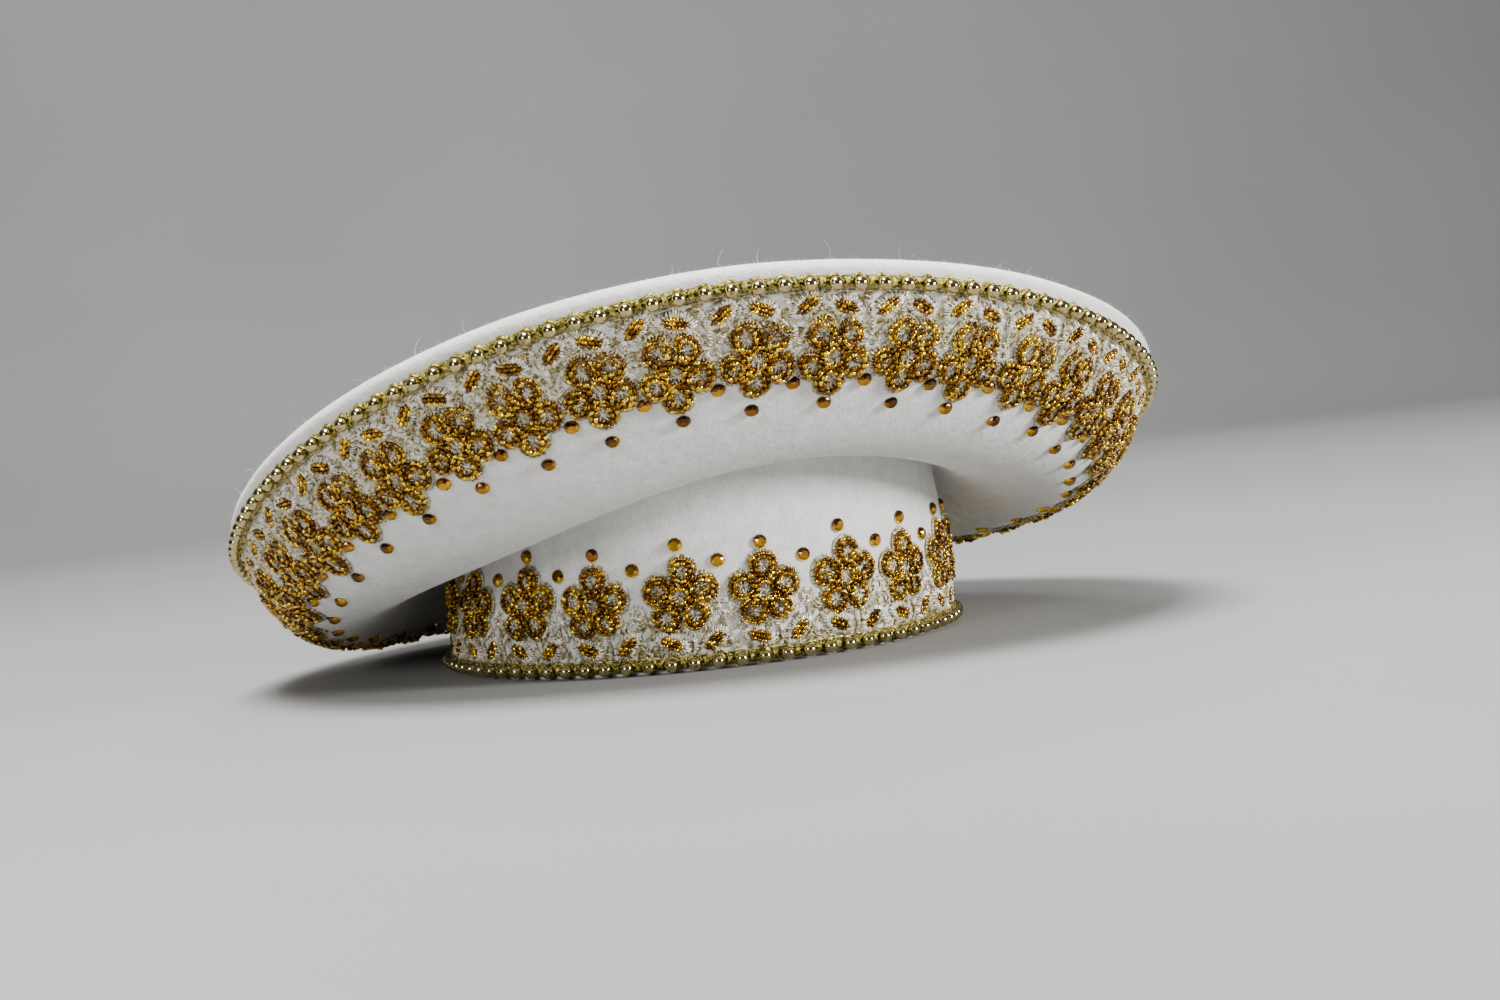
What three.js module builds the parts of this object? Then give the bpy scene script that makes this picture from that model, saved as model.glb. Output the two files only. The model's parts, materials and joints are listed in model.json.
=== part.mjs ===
// A halo hat: a blocked felt shell with bands of beaded lace, rows of beads and faceted stones.
// Millimetres, +Z up, the hat's front at -Y. The origin lies on the surface that the hat rests on,
// under the middle of its whole outline.
import * as THREE from 'three';
import { mergeVertices } from 'three/addons/utils/BufferGeometryUtils.js';

// The middle of the head opening, seen from the middle of the whole outline
const COLLAR_CENTRE = { x: 1.9, y: 14.5 };

// Felt
const FELT_WALL = 2.5;
const FELT_SEGMENTS = 64;

// The collar that stands on the surface: an oval edge, about 590 mm round
const COLLAR = { halfWidth: 88.6, halfLength: 99.1, frontSwell: 2 };

// The crease between the collar and the halo, highest at the front
const CREASE = {
  halfWidth: 85.3,
  halfLength: 99,
  forward: 3.6,
  backHeight: 48.5,
  frontRise: 21.3,
  frontPower: 5,
  lean: 8,
  leanPower: 1.5,
  fillet: 3,
};

// The row of beads along the halo's rim, an oval in a plane that is tilted back
const RIM = {
  halfWidth: 160.3,
  halfLength: 163.6,
  side: -2,
  forward: 26.3,
  height: 63.4,
  tiltDegrees: 17.1,
  leanDegrees: 1.24,
  saddle: 6,
  skew: 3.8,
  backReach: 14,
  backLift: 24,
  backLiftPower: 6,
};

// The felt's corner under that row of beads: how far it lies inside and above the beads' middles
const CORNER = { inside: 2.2, above: 1.2 };

// The two handles of the curve that the halo's underside follows from the crease to that corner.
// The roll is smaller at the back, so each size has a change that acts there.
const HEEL = {
  height: 18.7,
  frontRise: 32.5,
  frontPower: 3.7,
  lean: 7.4,
  backHeight: -9,
  reach: 26.5,
  backReach: -3.5,
};
const BRIM = { drop: 37.7, frontDrop: -9, inset: 14.5, frontInset: 8.6, backInset: -10 };
const BACK_POWER = 3;

// The turned edge, as offsets outwards and upwards from the corner, from the top inwards
const EDGE_ROWS = [
  { out: -5, up: 7 },
  { out: -1.2, up: 6.6 },
  { out: 0.9, up: 5.8 },
  { out: 2, up: 4.6 },
  { out: 2.1, up: 3.2 },
  { out: 1.3, up: 1.6 },
  { out: 0, up: 0 },
];
const EDGE_ROWS_INSIDE = [0, 4, 6];

// How full the turned edge is: its offsets are scaled by the front's value, and more towards the sides,
// most of all towards +X
const EDGE_FULLNESS = { front: 1.06, sides: 0.42, skew: 0.22 };

// The closed top is a shallow dome
const TOP_RISE = 18;
const TOP_ROWS = [0, 0.4, 0.75];

// Rows along the underside, from the corner (1) to the crease (0), and up the collar (1) to its edge (0)
const UNDERSIDE_ROWS = [0.93, 0.84, 0.74, 0.63, 0.52, 0.41, 0.3, 0.2, 0.11, 0.03];
const UNDERSIDE_ROWS_INSIDE = [1, 3, 5, 6, 7, 9];
const FILLET_ROWS = [0.35, 0.65];
const WALL_ROWS = [0.62, 0.3];

// Rows of beads on their thread, sized by the bead row's length
const BEAD = { radius: 2.4, halfFlat: 1.2, threadRadius: 0.9, sides: 5 };
const BEAD_GAP = 0.5;
const BEAD_LINE_POINTS = 90;
const COLLAR_BEADS = { count: 80, height: 3 };
const HALO_BEADS = { count: 135, outside: 0.6, below: 0.6 };

// Bands of beaded lace, measured along the felt from the collar's edge and from the halo's corner
const LACE = { lift: 1, thickness: 1.4, segmentsPerFlower: 4 };
const COLLAR_LACE = { flowers: 20, base: 6.2, valley: 30.5, tip: 38.5, rows: 3, firstFlowerDegrees: -1 };
const HALO_LACE = { flowers: 38, base: 4.6, valley: 28, tip: 36, rows: 6, firstFlowerDegrees: -4.7 };

// Faceted stones on the collar: one over each flower and one between flowers
const STONE = { radius: 2.35, tableRadius: 1.5, height: 1.7, sides: 8, gap: 0.5 };
const STONE_ROWS = [
  { name: 'low', along: 34.2, flowerShift: 0.5 },
  { name: 'high', along: 41.2, flowerShift: 0 },
];

const COLOURS = {
  felt: { color: 0xf1eee6, roughness: 0.95, metalness: 0 },
  lace: { color: 0xc29a4a, roughness: 0.45, metalness: 0.3 },
  beads: { color: 0xcdb98a, roughness: 0.22, metalness: 1 },
  stone: { color: 0xb5670f, roughness: 0.12, metalness: 0.2 },
};

const FULL_TURN = 2 * Math.PI;
const UP = new THREE.Vector3(0, 0, 1);

// The halo's own frame: its XY plane holds the rim, and its Z is the rim's axis
const HALO_FRAME = new THREE.Matrix4()
  .makeRotationY(THREE.MathUtils.degToRad(-RIM.leanDegrees))
  .multiply(new THREE.Matrix4().makeRotationX(THREE.MathUtils.degToRad(-RIM.tiltDegrees)))
  .setPosition(RIM.side, -RIM.forward, RIM.height);
const HALO_AXIS = UP.clone().transformDirection(HALO_FRAME);

// Angles run from the front, positive towards +X. 1 at the front, 0 at the back.
function frontness(angle) {
  return (1 + Math.cos(angle)) / 2;
}

function ovalPoint(oval, angle, z) {
  return new THREE.Vector3(oval.halfWidth * Math.sin(angle), -oval.halfLength * Math.cos(angle), z);
}

// Outwards in the halo's own plane
function haloOutwards(angle) {
  return ovalPoint({ halfWidth: 1 / RIM.halfWidth, halfLength: 1 / RIM.halfLength }, angle, 0).normalize();
}

// A point by the rim, moved outwards and along the rim's axis, in the halo's own frame.
// The rim bends like a saddle, and at the back it reaches out and rises over the closed crease.
function rimPointInHalo(angle, out, up) {
  const backness = 1 - frontness(angle);
  const bend = RIM.saddle * Math.cos(2 * angle) - RIM.skew * Math.sin(2 * angle);
  const point = ovalPoint(RIM, angle, bend + up + RIM.backLift * backness ** RIM.backLiftPower);
  point.y += RIM.backReach * backness ** 2;
  return point.addScaledVector(haloOutwards(angle), out);
}

// A point on the turned edge, in the halo's own frame
function edgePointInHalo(angle, out, up) {
  const sideways = EDGE_FULLNESS.sides + EDGE_FULLNESS.skew * Math.sin(angle);
  const fullness = EDGE_FULLNESS.front + sideways * Math.sin(angle) ** 2;
  return rimPointInHalo(angle, out * fullness - CORNER.inside, up * fullness + CORNER.above);
}

function cornerPoint(angle, out = 0, up = 0) {
  return edgePointInHalo(angle, out, up).applyMatrix4(HALO_FRAME);
}

// A point on the top: fraction 0 is its middle, 1 the start of the turned edge
function topPoint(angle, fraction) {
  const row = EDGE_ROWS[0];
  const point = edgePointInHalo(angle, row.out, row.up);
  const middleHeight = row.up + CORNER.above;
  point.x *= fraction;
  point.y *= fraction;
  point.z = middleHeight + (point.z - middleHeight) * fraction ** 2 + TOP_RISE * (1 - fraction ** 2);
  return point.applyMatrix4(HALO_FRAME);
}

function creasePoint(angle) {
  const front = frontness(angle);
  const lean = CREASE.lean * Math.sin(angle) * front ** CREASE.leanPower;
  const height = CREASE.backHeight + CREASE.frontRise * front ** CREASE.frontPower + lean;
  const point = ovalPoint(CREASE, angle, height);
  point.y -= CREASE.forward;
  return point;
}

// The halo's underside at one angle, from the crease to the corner
function undersideCurve(angle) {
  const crease = creasePoint(angle);
  const corner = cornerPoint(angle);
  const back = (1 - frontness(angle)) ** BACK_POWER;
  const outwards = corner.clone().sub(crease).setZ(0).normalize();
  const heel = crease.clone().addScaledVector(outwards, HEEL.reach + HEEL.backReach * back);
  heel.z = HEEL.height + HEEL.backHeight * back + HEEL.lean * Math.sin(angle);
  heel.z += HEEL.frontRise * frontness(angle) ** HEEL.frontPower;
  const drop = BRIM.drop + BRIM.frontDrop * Math.cos(angle);
  const inset = BRIM.inset + BRIM.frontInset * Math.cos(angle) + BRIM.backInset * back;
  const brim = corner.clone().addScaledVector(HALO_AXIS, -drop);
  brim.addScaledVector(haloOutwards(angle).transformDirection(HALO_FRAME), -inset);
  return new THREE.CubicBezierCurve3(crease, heel, brim, corner);
}

// The collar's wall at one angle, from its edge to the crease
function wallCurve(angle) {
  const edge = ovalPoint(COLLAR, angle, 0);
  const crease = creasePoint(angle);
  const middle = edge.clone().lerp(crease, 0.5);
  middle.addScaledVector(edge.clone().normalize(), 2 * COLLAR.frontSwell * frontness(angle));
  return new THREE.QuadraticBezierCurve3(edge, middle, crease);
}

// The felt's two trimmed faces. A point lies a distance along the face, and can be lifted off it.
const COLLAR_FACE = {
  facing: 1,
  pointAt(angle, along) {
    const curve = wallCurve(angle);
    return curve.getPointAt(along / curve.getLength());
  },
};
const HALO_FACE = {
  facing: -1,
  pointAt(angle, along) {
    const curve = undersideCurve(angle);
    return curve.getPointAt(1 - along / curve.getLength());
  },
};

function outwardNormal(face, angle, along) {
  const step = 0.5;
  const turn = 0.01;
  const across = face.pointAt(angle, along + step).sub(face.pointAt(angle, along - step));
  const around = face.pointAt(angle + turn, along).sub(face.pointAt(angle - turn, along));
  return around.cross(across).normalize().multiplyScalar(face.facing);
}

function liftedPoint(face, angle, along, lift) {
  return face.pointAt(angle, along).addScaledVector(outwardNormal(face, angle, along), lift);
}

// A solid that goes round the hat: its section has rowCount points, and pointAt places each one
function solidAround(rowCount, segments, closedSection, pointAt) {
  const section = [];
  const lastRow = closedSection ? rowCount : rowCount - 1;
  for (let row = 0; row <= lastRow; row++) {
    section.push(new THREE.Vector2(row === 0 && !closedSection ? 0 : 1, row));
  }
  const geometry = new THREE.LatheGeometry(section, segments);
  geometry.deleteAttribute('normal');
  geometry.deleteAttribute('uv');
  const positions = geometry.getAttribute('position');
  for (let index = 0; index < positions.count; index++) {
    const row = (index % section.length) % rowCount;
    const segment = Math.floor(index / section.length) % segments;
    const point = pointAt(row, segment);
    positions.setXYZ(index, point.x, point.y, point.z);
  }
  return mergeVertices(geometry);
}

// The rows of the felt's outer face, from the middle of the top to the collar's edge
function feltRows() {
  const rows = [];
  TOP_ROWS.forEach((fraction) => rows.push({ inside: true, at: (angle) => topPoint(angle, fraction) }));
  EDGE_ROWS.forEach((row, index) => {
    const inside = EDGE_ROWS_INSIDE.includes(index);
    rows.push({ inside, at: (angle) => cornerPoint(angle, row.out, row.up) });
  });
  UNDERSIDE_ROWS.forEach((fraction, index) => {
    const inside = UNDERSIDE_ROWS_INSIDE.includes(index);
    rows.push({ inside, at: (angle) => undersideCurve(angle).getPoint(fraction) });
  });
  FILLET_ROWS.forEach((fraction) => rows.push({ inside: true, at: (angle) => filletPoint(angle, fraction) }));
  rows.push({ inside: true, at: wallTopPoint });
  WALL_ROWS.forEach((fraction) => {
    rows.push({ inside: false, at: (angle) => wallCurve(angle).getPointAt(fraction) });
  });
  rows.push({ inside: true, at: (angle) => ovalPoint(COLLAR, angle, 0) });
  return rows;
}

function wallTopPoint(angle) {
  const curve = wallCurve(angle);
  return curve.getPointAt(1 - CREASE.fillet / curve.getLength());
}

// The round inner corner of the crease
function filletPoint(angle, fraction) {
  const start = undersideCurve(angle).getPoint(UNDERSIDE_ROWS[UNDERSIDE_ROWS.length - 1]);
  return new THREE.QuadraticBezierCurve3(start, creasePoint(angle), wallTopPoint(angle)).getPoint(fraction);
}

// The felt shell: the outer rows, and the same rows moved in by the felt's thickness, back to the top
function feltBody() {
  const rows = feltRows();
  const grid = rows.map((row) => segmentAngles(FELT_SEGMENTS).map((angle) => row.at(angle)));
  const innerRows = rows.map((row, index) => (row.inside ? index : -1)).filter((index) => index >= 0);
  innerRows.reverse();
  const pointAt = (row, segment) => {
    if (row < rows.length) return grid[row][segment];
    return insidePoint(grid, innerRows[row - rows.length], segment);
  };
  return shellAround(rows.length + innerRows.length, FELT_SEGMENTS, pointAt);
}

function insidePoint(grid, row, segment) {
  const count = grid[row].length;
  const here = grid[row][segment];
  if (row === 0) return here.clone().addScaledVector(HALO_AXIS, -FELT_WALL);
  if (row === grid.length - 1) {
    const scale = 1 - FELT_WALL / here.length();
    return new THREE.Vector3(here.x * scale, here.y * scale, here.z);
  }
  const across = grid[row + 1][segment].clone().sub(grid[row - 1][segment]);
  const around = grid[row][(segment + 1) % count].clone().sub(grid[row][(segment + count - 1) % count]);
  return here.clone().addScaledVector(across.cross(around).normalize(), -FELT_WALL);
}

function segmentAngles(segments) {
  return Array.from({ length: segments }, (_, index) => (index / segments) * FULL_TURN);
}

// A shell whose section starts and ends on the middle of the top
function shellAround(rowCount, segments, pointAt) {
  const merged = solidAround(rowCount, segments, false, pointAt);
  const index = merged.getIndex().array;
  const kept = [];
  for (let corner = 0; corner < index.length; corner += 3) {
    const [a, b, c] = index.slice(corner, corner + 3);
    if (a !== b && b !== c && c !== a) kept.push(a, c, b);
  }
  merged.setIndex(kept);
  return merged;
}

// A band of lace with a scalloped free edge, one scallop to a flower
function laceBand(lace, face) {
  const segments = lace.flowers * LACE.segmentsPerFlower;
  const rowCount = 2 * lace.rows;
  return solidAround(rowCount, segments, true, (row, segment) => {
    const onTop = row < lace.rows;
    const step = onTop ? row : rowCount - 1 - row;
    const turn = face.facing * (segment / segments) * FULL_TURN;
    const angle = THREE.MathUtils.degToRad(lace.firstFlowerDegrees) + turn;
    const scallop = (1 + Math.cos((segment / LACE.segmentsPerFlower) * FULL_TURN)) / 2;
    const freeEdge = THREE.MathUtils.lerp(lace.valley, lace.tip, scallop);
    const along = THREE.MathUtils.lerp(lace.base, freeEdge, step / (lace.rows - 1));
    return liftedPoint(face, angle, along, onTop ? LACE.lift + LACE.thickness : LACE.lift);
  });
}

// The closed line through the middles of a row of beads
function collarBeadLine() {
  const lift = BEAD.radius + BEAD_GAP;
  const points = segmentAngles(BEAD_LINE_POINTS).map((angle) => {
    const point = ovalPoint(COLLAR, angle, COLLAR_BEADS.height);
    return point.addScaledVector(ovalPoint(COLLAR, angle, 0).normalize(), lift);
  });
  return new THREE.CatmullRomCurve3(points, true);
}

function haloBeadLine() {
  const points = segmentAngles(BEAD_LINE_POINTS).map((angle) => {
    return rimPointInHalo(angle, HALO_BEADS.outside, -HALO_BEADS.below).applyMatrix4(HALO_FRAME);
  });
  return new THREE.CatmullRomCurve3(points, true);
}

// Round beads joined by their thread, as one solid ring
function beadString(line, count, axis) {
  const pitch = line.getLength() / count;
  const sections = [
    { along: 0, radius: BEAD.threadRadius },
    { along: 0.5 - BEAD.halfFlat / pitch, radius: BEAD.radius },
    { along: 0.5 + BEAD.halfFlat / pitch, radius: BEAD.radius },
  ];
  const segments = count * sections.length;
  return solidAround(BEAD.sides, segments, true, (side, segment) => {
    const section = sections[segment % sections.length];
    const part = (Math.floor(segment / sections.length) + section.along) / count;
    const tangent = line.getTangentAt(part);
    const outwards = tangent.clone().cross(axis).normalize();
    const upwards = outwards.clone().cross(tangent);
    const turn = (side / BEAD.sides) * FULL_TURN;
    return line
      .getPointAt(part)
      .addScaledVector(outwards, section.radius * Math.cos(turn))
      .addScaledVector(upwards, section.radius * Math.sin(turn));
  });
}

function stoneGeometry() {
  const geometry = new THREE.CylinderGeometry(STONE.tableRadius, STONE.radius, STONE.height, STONE.sides);
  geometry.rotateX(Math.PI / 2);
  geometry.translate(0, 0, STONE.height / 2);
  return geometry;
}

const materials = Object.fromEntries(
  Object.entries(COLOURS).map(([name, values]) => [name, new THREE.MeshStandardMaterial(values)]),
);

const hat = new THREE.Group();
hat.position.set(COLLAR_CENTRE.x, COLLAR_CENTRE.y, 0);

function addPiece(name, geometry, material) {
  const mesh = new THREE.Mesh(geometry, material);
  mesh.name = name;
  hat.add(mesh);
  return mesh;
}

addPiece('felt_body', feltBody(), materials.felt);
addPiece('collar_lace', laceBand(COLLAR_LACE, COLLAR_FACE), materials.lace);
addPiece('halo_lace', laceBand(HALO_LACE, HALO_FACE), materials.lace);
addPiece('collar_bead_trim', beadString(collarBeadLine(), COLLAR_BEADS.count, UP), materials.beads);
addPiece('halo_bead_trim', beadString(haloBeadLine(), HALO_BEADS.count, HALO_AXIS), materials.beads);

for (const row of STONE_ROWS) {
  for (let number = 0; number < COLLAR_LACE.flowers; number++) {
    const turn = ((number + row.flowerShift) / COLLAR_LACE.flowers) * FULL_TURN;
    const angle = THREE.MathUtils.degToRad(COLLAR_LACE.firstFlowerDegrees) + turn;
    const label = String(number + 1).padStart(2, '0');
    const stone = addPiece(`collar_stone_${row.name}_${label}`, stoneGeometry(), materials.stone);
    stone.position.copy(liftedPoint(COLLAR_FACE, angle, row.along, STONE.gap));
    stone.quaternion.setFromUnitVectors(UP, outwardNormal(COLLAR_FACE, angle, row.along));
  }
}

const halo_hat = new THREE.Group();
halo_hat.add(hat);

export default halo_hat;
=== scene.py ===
"""The looks of a halo hat: blocked white felt, beaded gold lace, rows of beads and faceted stones.

Everything is in metres, +Z up, with the hat's front at -Y. Angles run from the front, positive towards +X.
"""

import json
import logging
import math
from dataclasses import asdict, dataclass, field
from enum import Enum
from functools import partial
from typing import Callable, Sequence

import bmesh
import bpy
import numpy as np
from mathutils import Matrix, Vector, noise

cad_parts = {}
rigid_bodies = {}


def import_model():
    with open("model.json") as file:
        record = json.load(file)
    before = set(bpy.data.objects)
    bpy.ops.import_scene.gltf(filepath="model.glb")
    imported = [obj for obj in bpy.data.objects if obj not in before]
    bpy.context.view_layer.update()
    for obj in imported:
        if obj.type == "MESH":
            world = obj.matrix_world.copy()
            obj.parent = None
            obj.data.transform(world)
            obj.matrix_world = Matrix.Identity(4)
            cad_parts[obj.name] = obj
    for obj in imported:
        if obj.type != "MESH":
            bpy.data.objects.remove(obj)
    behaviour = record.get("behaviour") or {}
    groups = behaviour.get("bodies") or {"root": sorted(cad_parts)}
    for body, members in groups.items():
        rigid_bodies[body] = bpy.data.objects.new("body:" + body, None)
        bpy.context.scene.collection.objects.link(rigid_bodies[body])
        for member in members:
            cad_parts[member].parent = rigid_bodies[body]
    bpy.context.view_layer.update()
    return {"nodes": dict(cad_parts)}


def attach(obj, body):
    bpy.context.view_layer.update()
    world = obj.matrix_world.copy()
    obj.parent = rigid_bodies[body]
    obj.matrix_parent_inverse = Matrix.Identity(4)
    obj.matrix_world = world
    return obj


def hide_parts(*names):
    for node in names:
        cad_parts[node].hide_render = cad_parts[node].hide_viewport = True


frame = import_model()

LOG = logging.getLogger("halo_hat")
Array = np.ndarray
Socket = bpy.types.NodeSocket
Object = bpy.types.Object
Material = bpy.types.Material
Pair = tuple[float, float]
Triple = tuple[float, float, float]
Faces = list[tuple[int, ...]]

FULL_TURN = 2 * math.pi
TINY = 1e-12
MM = 0.001
VECTOR = "FLOAT_VECTOR"
MOTIF_INPUTS = {"Motif": "Object", "Felt map": "Object", "Repeats": "Int", "Pitch": "Float"}
JOIN_DISTANCE = 0.02 * MM


class Slot(Enum):
    """The record's material slots."""

    FELT = "felt"
    LACE_THREAD = "lace_thread"
    BUGLE = "bugle_bead"
    BEAD = "bead"
    BRAID = "braid"
    STONE = "stone"


# Vectors and curves


def unit(vectors: Array) -> Array:
    """Scales each vector to length one."""
    return vectors / np.maximum(np.linalg.norm(vectors, axis=-1, keepdims=True), TINY)


def smooth_path(points: Sequence[Sequence[float]], count: int) -> Array:
    """Rounds off a path with a curve through all its points.

    Args:
        points: The points that the path goes through.
        count: How many points the result has.

    Returns:
        The points of the curve, at even steps from point to point.
    """
    knots = np.array(points, float)
    padded = np.vstack([2 * knots[0] - knots[1], knots, 2 * knots[-1] - knots[-2]])
    place = np.linspace(0, len(knots) - 1, count)
    index = np.minimum(place.astype(int), len(knots) - 2)
    t = (place - index)[:, None]
    a, b, c, d = (padded[index + step] for step in range(4))
    return 0.5 * (2 * b + (c - a) * t + (2 * a - 5 * b + 4 * c - d) * t**2 + (3 * b - a - 3 * c + d) * t**3)


def distances_along(points: Array) -> Array:
    """Returns how far along its path each point lies."""
    return np.concatenate([[0], np.cumsum(np.linalg.norm(np.diff(points, axis=0), axis=1))])


def at_lengths(points: Array, lengths: Array) -> Array:
    """Finds the points at given distances from the start of a path."""
    travelled = distances_along(points)
    return np.stack([np.interp(lengths, travelled, values) for values in points.T], axis=1)


def circle(count: int, shift: float = 0.0) -> Array:
    """Returns the points of a flat circle of radius one, counterclockwise."""
    turns = (np.arange(count) + shift) * FULL_TURN / count
    return np.column_stack([np.cos(turns), np.sin(turns)])


def raised(path: Array, height: float) -> Array:
    """Returns a flat path at a height."""
    return np.column_stack([path, np.full(len(path), height)])


# The hat's form


@dataclass(frozen=True)
class HatBlock:
    """The form that the felt is blocked on, with the sizes of its collar, crease, rim and turned edge."""

    centre: Pair = (1.9 * MM, 14.5 * MM)
    felt: float = 2.5 * MM
    collar: Pair = (88.6 * MM, 99.1 * MM)
    collar_swell: float = 2 * MM
    crease: Pair = (85.3 * MM, 99 * MM)
    crease_forward: float = 3.6 * MM
    crease_back_height: float = 48.5 * MM
    crease_front_rise: float = 21.3 * MM
    crease_front_power: float = 5
    crease_lean: float = 8 * MM
    crease_lean_power: float = 1.5
    crease_fillet: float = 3 * MM
    rim: Pair = (160.3 * MM, 163.6 * MM)
    rim_middle: Triple = (-2 * MM, -26.3 * MM, 63.4 * MM)
    rim_tilt: float = 17.1
    rim_lean: float = 1.24
    rim_saddle: float = 6 * MM
    rim_skew: float = 3.8 * MM
    rim_back_reach: float = 14 * MM
    rim_back_lift: float = 24 * MM
    rim_back_lift_power: float = 6
    corner_inside: float = 2.2 * MM
    corner_above: float = 1.2 * MM
    heel_height: float = 18.7 * MM
    heel_front_rise: float = 32.5 * MM
    heel_front_power: float = 3.7
    heel_lean: float = 7.4 * MM
    heel_back_height: float = -9 * MM
    heel_reach: float = 26.5 * MM
    heel_back_reach: float = -3.5 * MM
    brim_drop: float = 37.7 * MM
    brim_front_drop: float = -9 * MM
    brim_inset: float = 14.5 * MM
    brim_front_inset: float = 8.6 * MM
    brim_back_inset: float = -10 * MM
    back_power: float = 3
    top_rise: float = 18 * MM
    edge_knots: tuple[Pair, ...] = (
        (0, 0),
        (1.3 * MM, 1.6 * MM),
        (2.1 * MM, 3.2 * MM),
        (2 * MM, 4.6 * MM),
        (0.9 * MM, 5.8 * MM),
        (-1.2 * MM, 6.6 * MM),
        (-5 * MM, 7 * MM),
    )
    edge_front_fullness: float = 1.06
    edge_side_fullness: float = 0.42
    edge_skew_fullness: float = 0.22
    wobble: float = 0.7 * MM
    wobble_length: float = 55 * MM
    wobble_seed: int = 1
    wobble_rise: float = 0.6

    def halo_frame(self) -> Array:
        """Finds the halo's own axes.

        Returns:
            The axes as rows: two in the rim's plane, and the rim's axis.
        """
        turned = Matrix.Rotation(math.radians(-self.rim_lean), 3, "Y")
        tilted = Matrix.Rotation(math.radians(-self.rim_tilt), 3, "X")
        return np.array((turned @ tilted).transposed())

    def frontness(self, angle: Array) -> Array:
        """Returns 1 at the front and 0 at the back."""
        return (1 + np.cos(angle)) / 2

    def oval(self, half: Pair, angle: Array, height: Array | float) -> Array:
        """Places points on an oval, given by half its width and half its length, at angles and heights."""
        level = np.broadcast_to(height, angle.shape)
        return np.stack([half[0] * np.sin(angle), -half[1] * np.cos(angle), level], axis=-1)

    def rim_outwards(self, angle: Array) -> Array:
        """Returns the directions outwards in the rim's plane, in the halo's own axes."""
        return unit(self.oval((1 / self.rim[0], 1 / self.rim[1]), angle, 0.0))

    def rim_point(self, angle: Array, out: Array | float, up: Array | float) -> Array:
        """Places points near the row of beads along the rim.

        Args:
            angle: The angles from the front.
            out: How far outwards in the rim's plane.
            up: How far along the rim's axis.

        Returns:
            A point for each angle, before the felt's wobble.
        """
        backness = 1 - self.frontness(angle)
        bend = self.rim_saddle * np.cos(2 * angle) - self.rim_skew * np.sin(2 * angle)
        bend = bend + self.rim_back_lift * backness**self.rim_back_lift_power
        point = self.oval(self.rim, angle, bend + up)
        point[..., 1] += self.rim_back_reach * backness**2
        point += self.rim_outwards(angle) * np.asarray(out)[..., None]
        return point @ self.halo_frame() + np.array(self.rim_middle)

    def corner_point(self, angle: Array, out: Array | float = 0.0, up: Array | float = 0.0) -> Array:
        """Places points on the turned edge, from the felt's corner under the rim's beads.

        Args:
            angle: The angles from the front.
            out: How far outwards of the corner, before the edge's fullness.
            up: How far above the corner, before the edge's fullness.

        Returns:
            A point for each angle.
        """
        sideways = self.edge_side_fullness + self.edge_skew_fullness * np.sin(angle)
        fullness = self.edge_front_fullness + sideways * np.sin(angle) ** 2
        out, up = out * fullness - self.corner_inside, up * fullness + self.corner_above
        return self.rim_point(angle, out, up)

    def top_point(self, angle: Array, fraction: float) -> Array:
        """Places points on the closed top.

        Args:
            angle: The angles from the front.
            fraction: 0 in the middle of the top, 1 where its edge turns.

        Returns:
            A point for each angle.
        """
        out, up = self.edge_knots[-1]
        local = (self.corner_point(angle, out, up) - np.array(self.rim_middle)) @ self.halo_frame().T
        middle = up + self.corner_above
        local[:, :2] *= fraction
        local[:, 2] = middle + (local[:, 2] - middle) * fraction**2 + self.top_rise * (1 - fraction**2)
        return local @ self.halo_frame() + np.array(self.rim_middle)

    def crease_point(self, angle: Array) -> Array:
        """Places points on the sharp crease between the collar and the halo.

        Args:
            angle: The angles from the front.

        Returns:
            A point for each angle.
        """
        front = self.frontness(angle)
        height = self.crease_back_height + self.crease_front_rise * front**self.crease_front_power
        height = height + self.crease_lean * np.sin(angle) * front**self.crease_lean_power
        point = self.oval(self.crease, angle, height)
        point[:, 1] -= self.crease_forward
        return point

    def underside(self, angle: Array, t: Array) -> Array:
        """Follows the halo's underside.

        Args:
            angle: The angles from the front.
            t: Places on each curve, from 0 at the crease to 1 at the corner.

        Returns:
            The points, by angle and place.
        """
        crease, corner = self.crease_point(angle), self.corner_point(angle)
        back = (1 - self.frontness(angle)) ** self.back_power
        outwards = (corner - crease) * np.array([1, 1, 0])
        heel = crease + unit(outwards) * (self.heel_reach + self.heel_back_reach * back)[:, None]
        heel[:, 2] = self.heel_height + self.heel_back_height * back + self.heel_lean * np.sin(angle)
        heel[:, 2] += self.heel_front_rise * self.frontness(angle) ** self.heel_front_power
        drop = self.brim_drop + self.brim_front_drop * np.cos(angle)
        inset = self.brim_inset + self.brim_front_inset * np.cos(angle) + self.brim_back_inset * back
        brim = corner - self.halo_frame()[2] * drop[:, None]
        brim -= (self.rim_outwards(angle) @ self.halo_frame()) * inset[:, None]
        a, b, c, d = (points[:, None, :] for points in (crease, heel, brim, corner))
        t = np.asarray(t)[None, :, None]
        return a * (1 - t) ** 3 + 3 * b * t * (1 - t) ** 2 + 3 * c * t**2 * (1 - t) + d * t**3

    def wall(self, angle: Array, t: Array) -> Array:
        """Follows the collar's wall.

        Args:
            angle: The angles from the front.
            t: Places on each curve, from 0 at its lower edge to 1 at the crease.

        Returns:
            The points, by angle and place.
        """
        edge, crease = self.oval(self.collar, angle, 0.0), self.crease_point(angle)
        swell = unit(edge) * (2 * self.collar_swell * self.frontness(angle))[:, None]
        middle = (edge + crease) / 2 + swell
        a, b, c = (points[:, None, :] for points in (edge, middle, crease))
        t = np.asarray(t)[None, :, None]
        return a * (1 - t) ** 2 + 2 * b * t * (1 - t) + c * t**2

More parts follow.
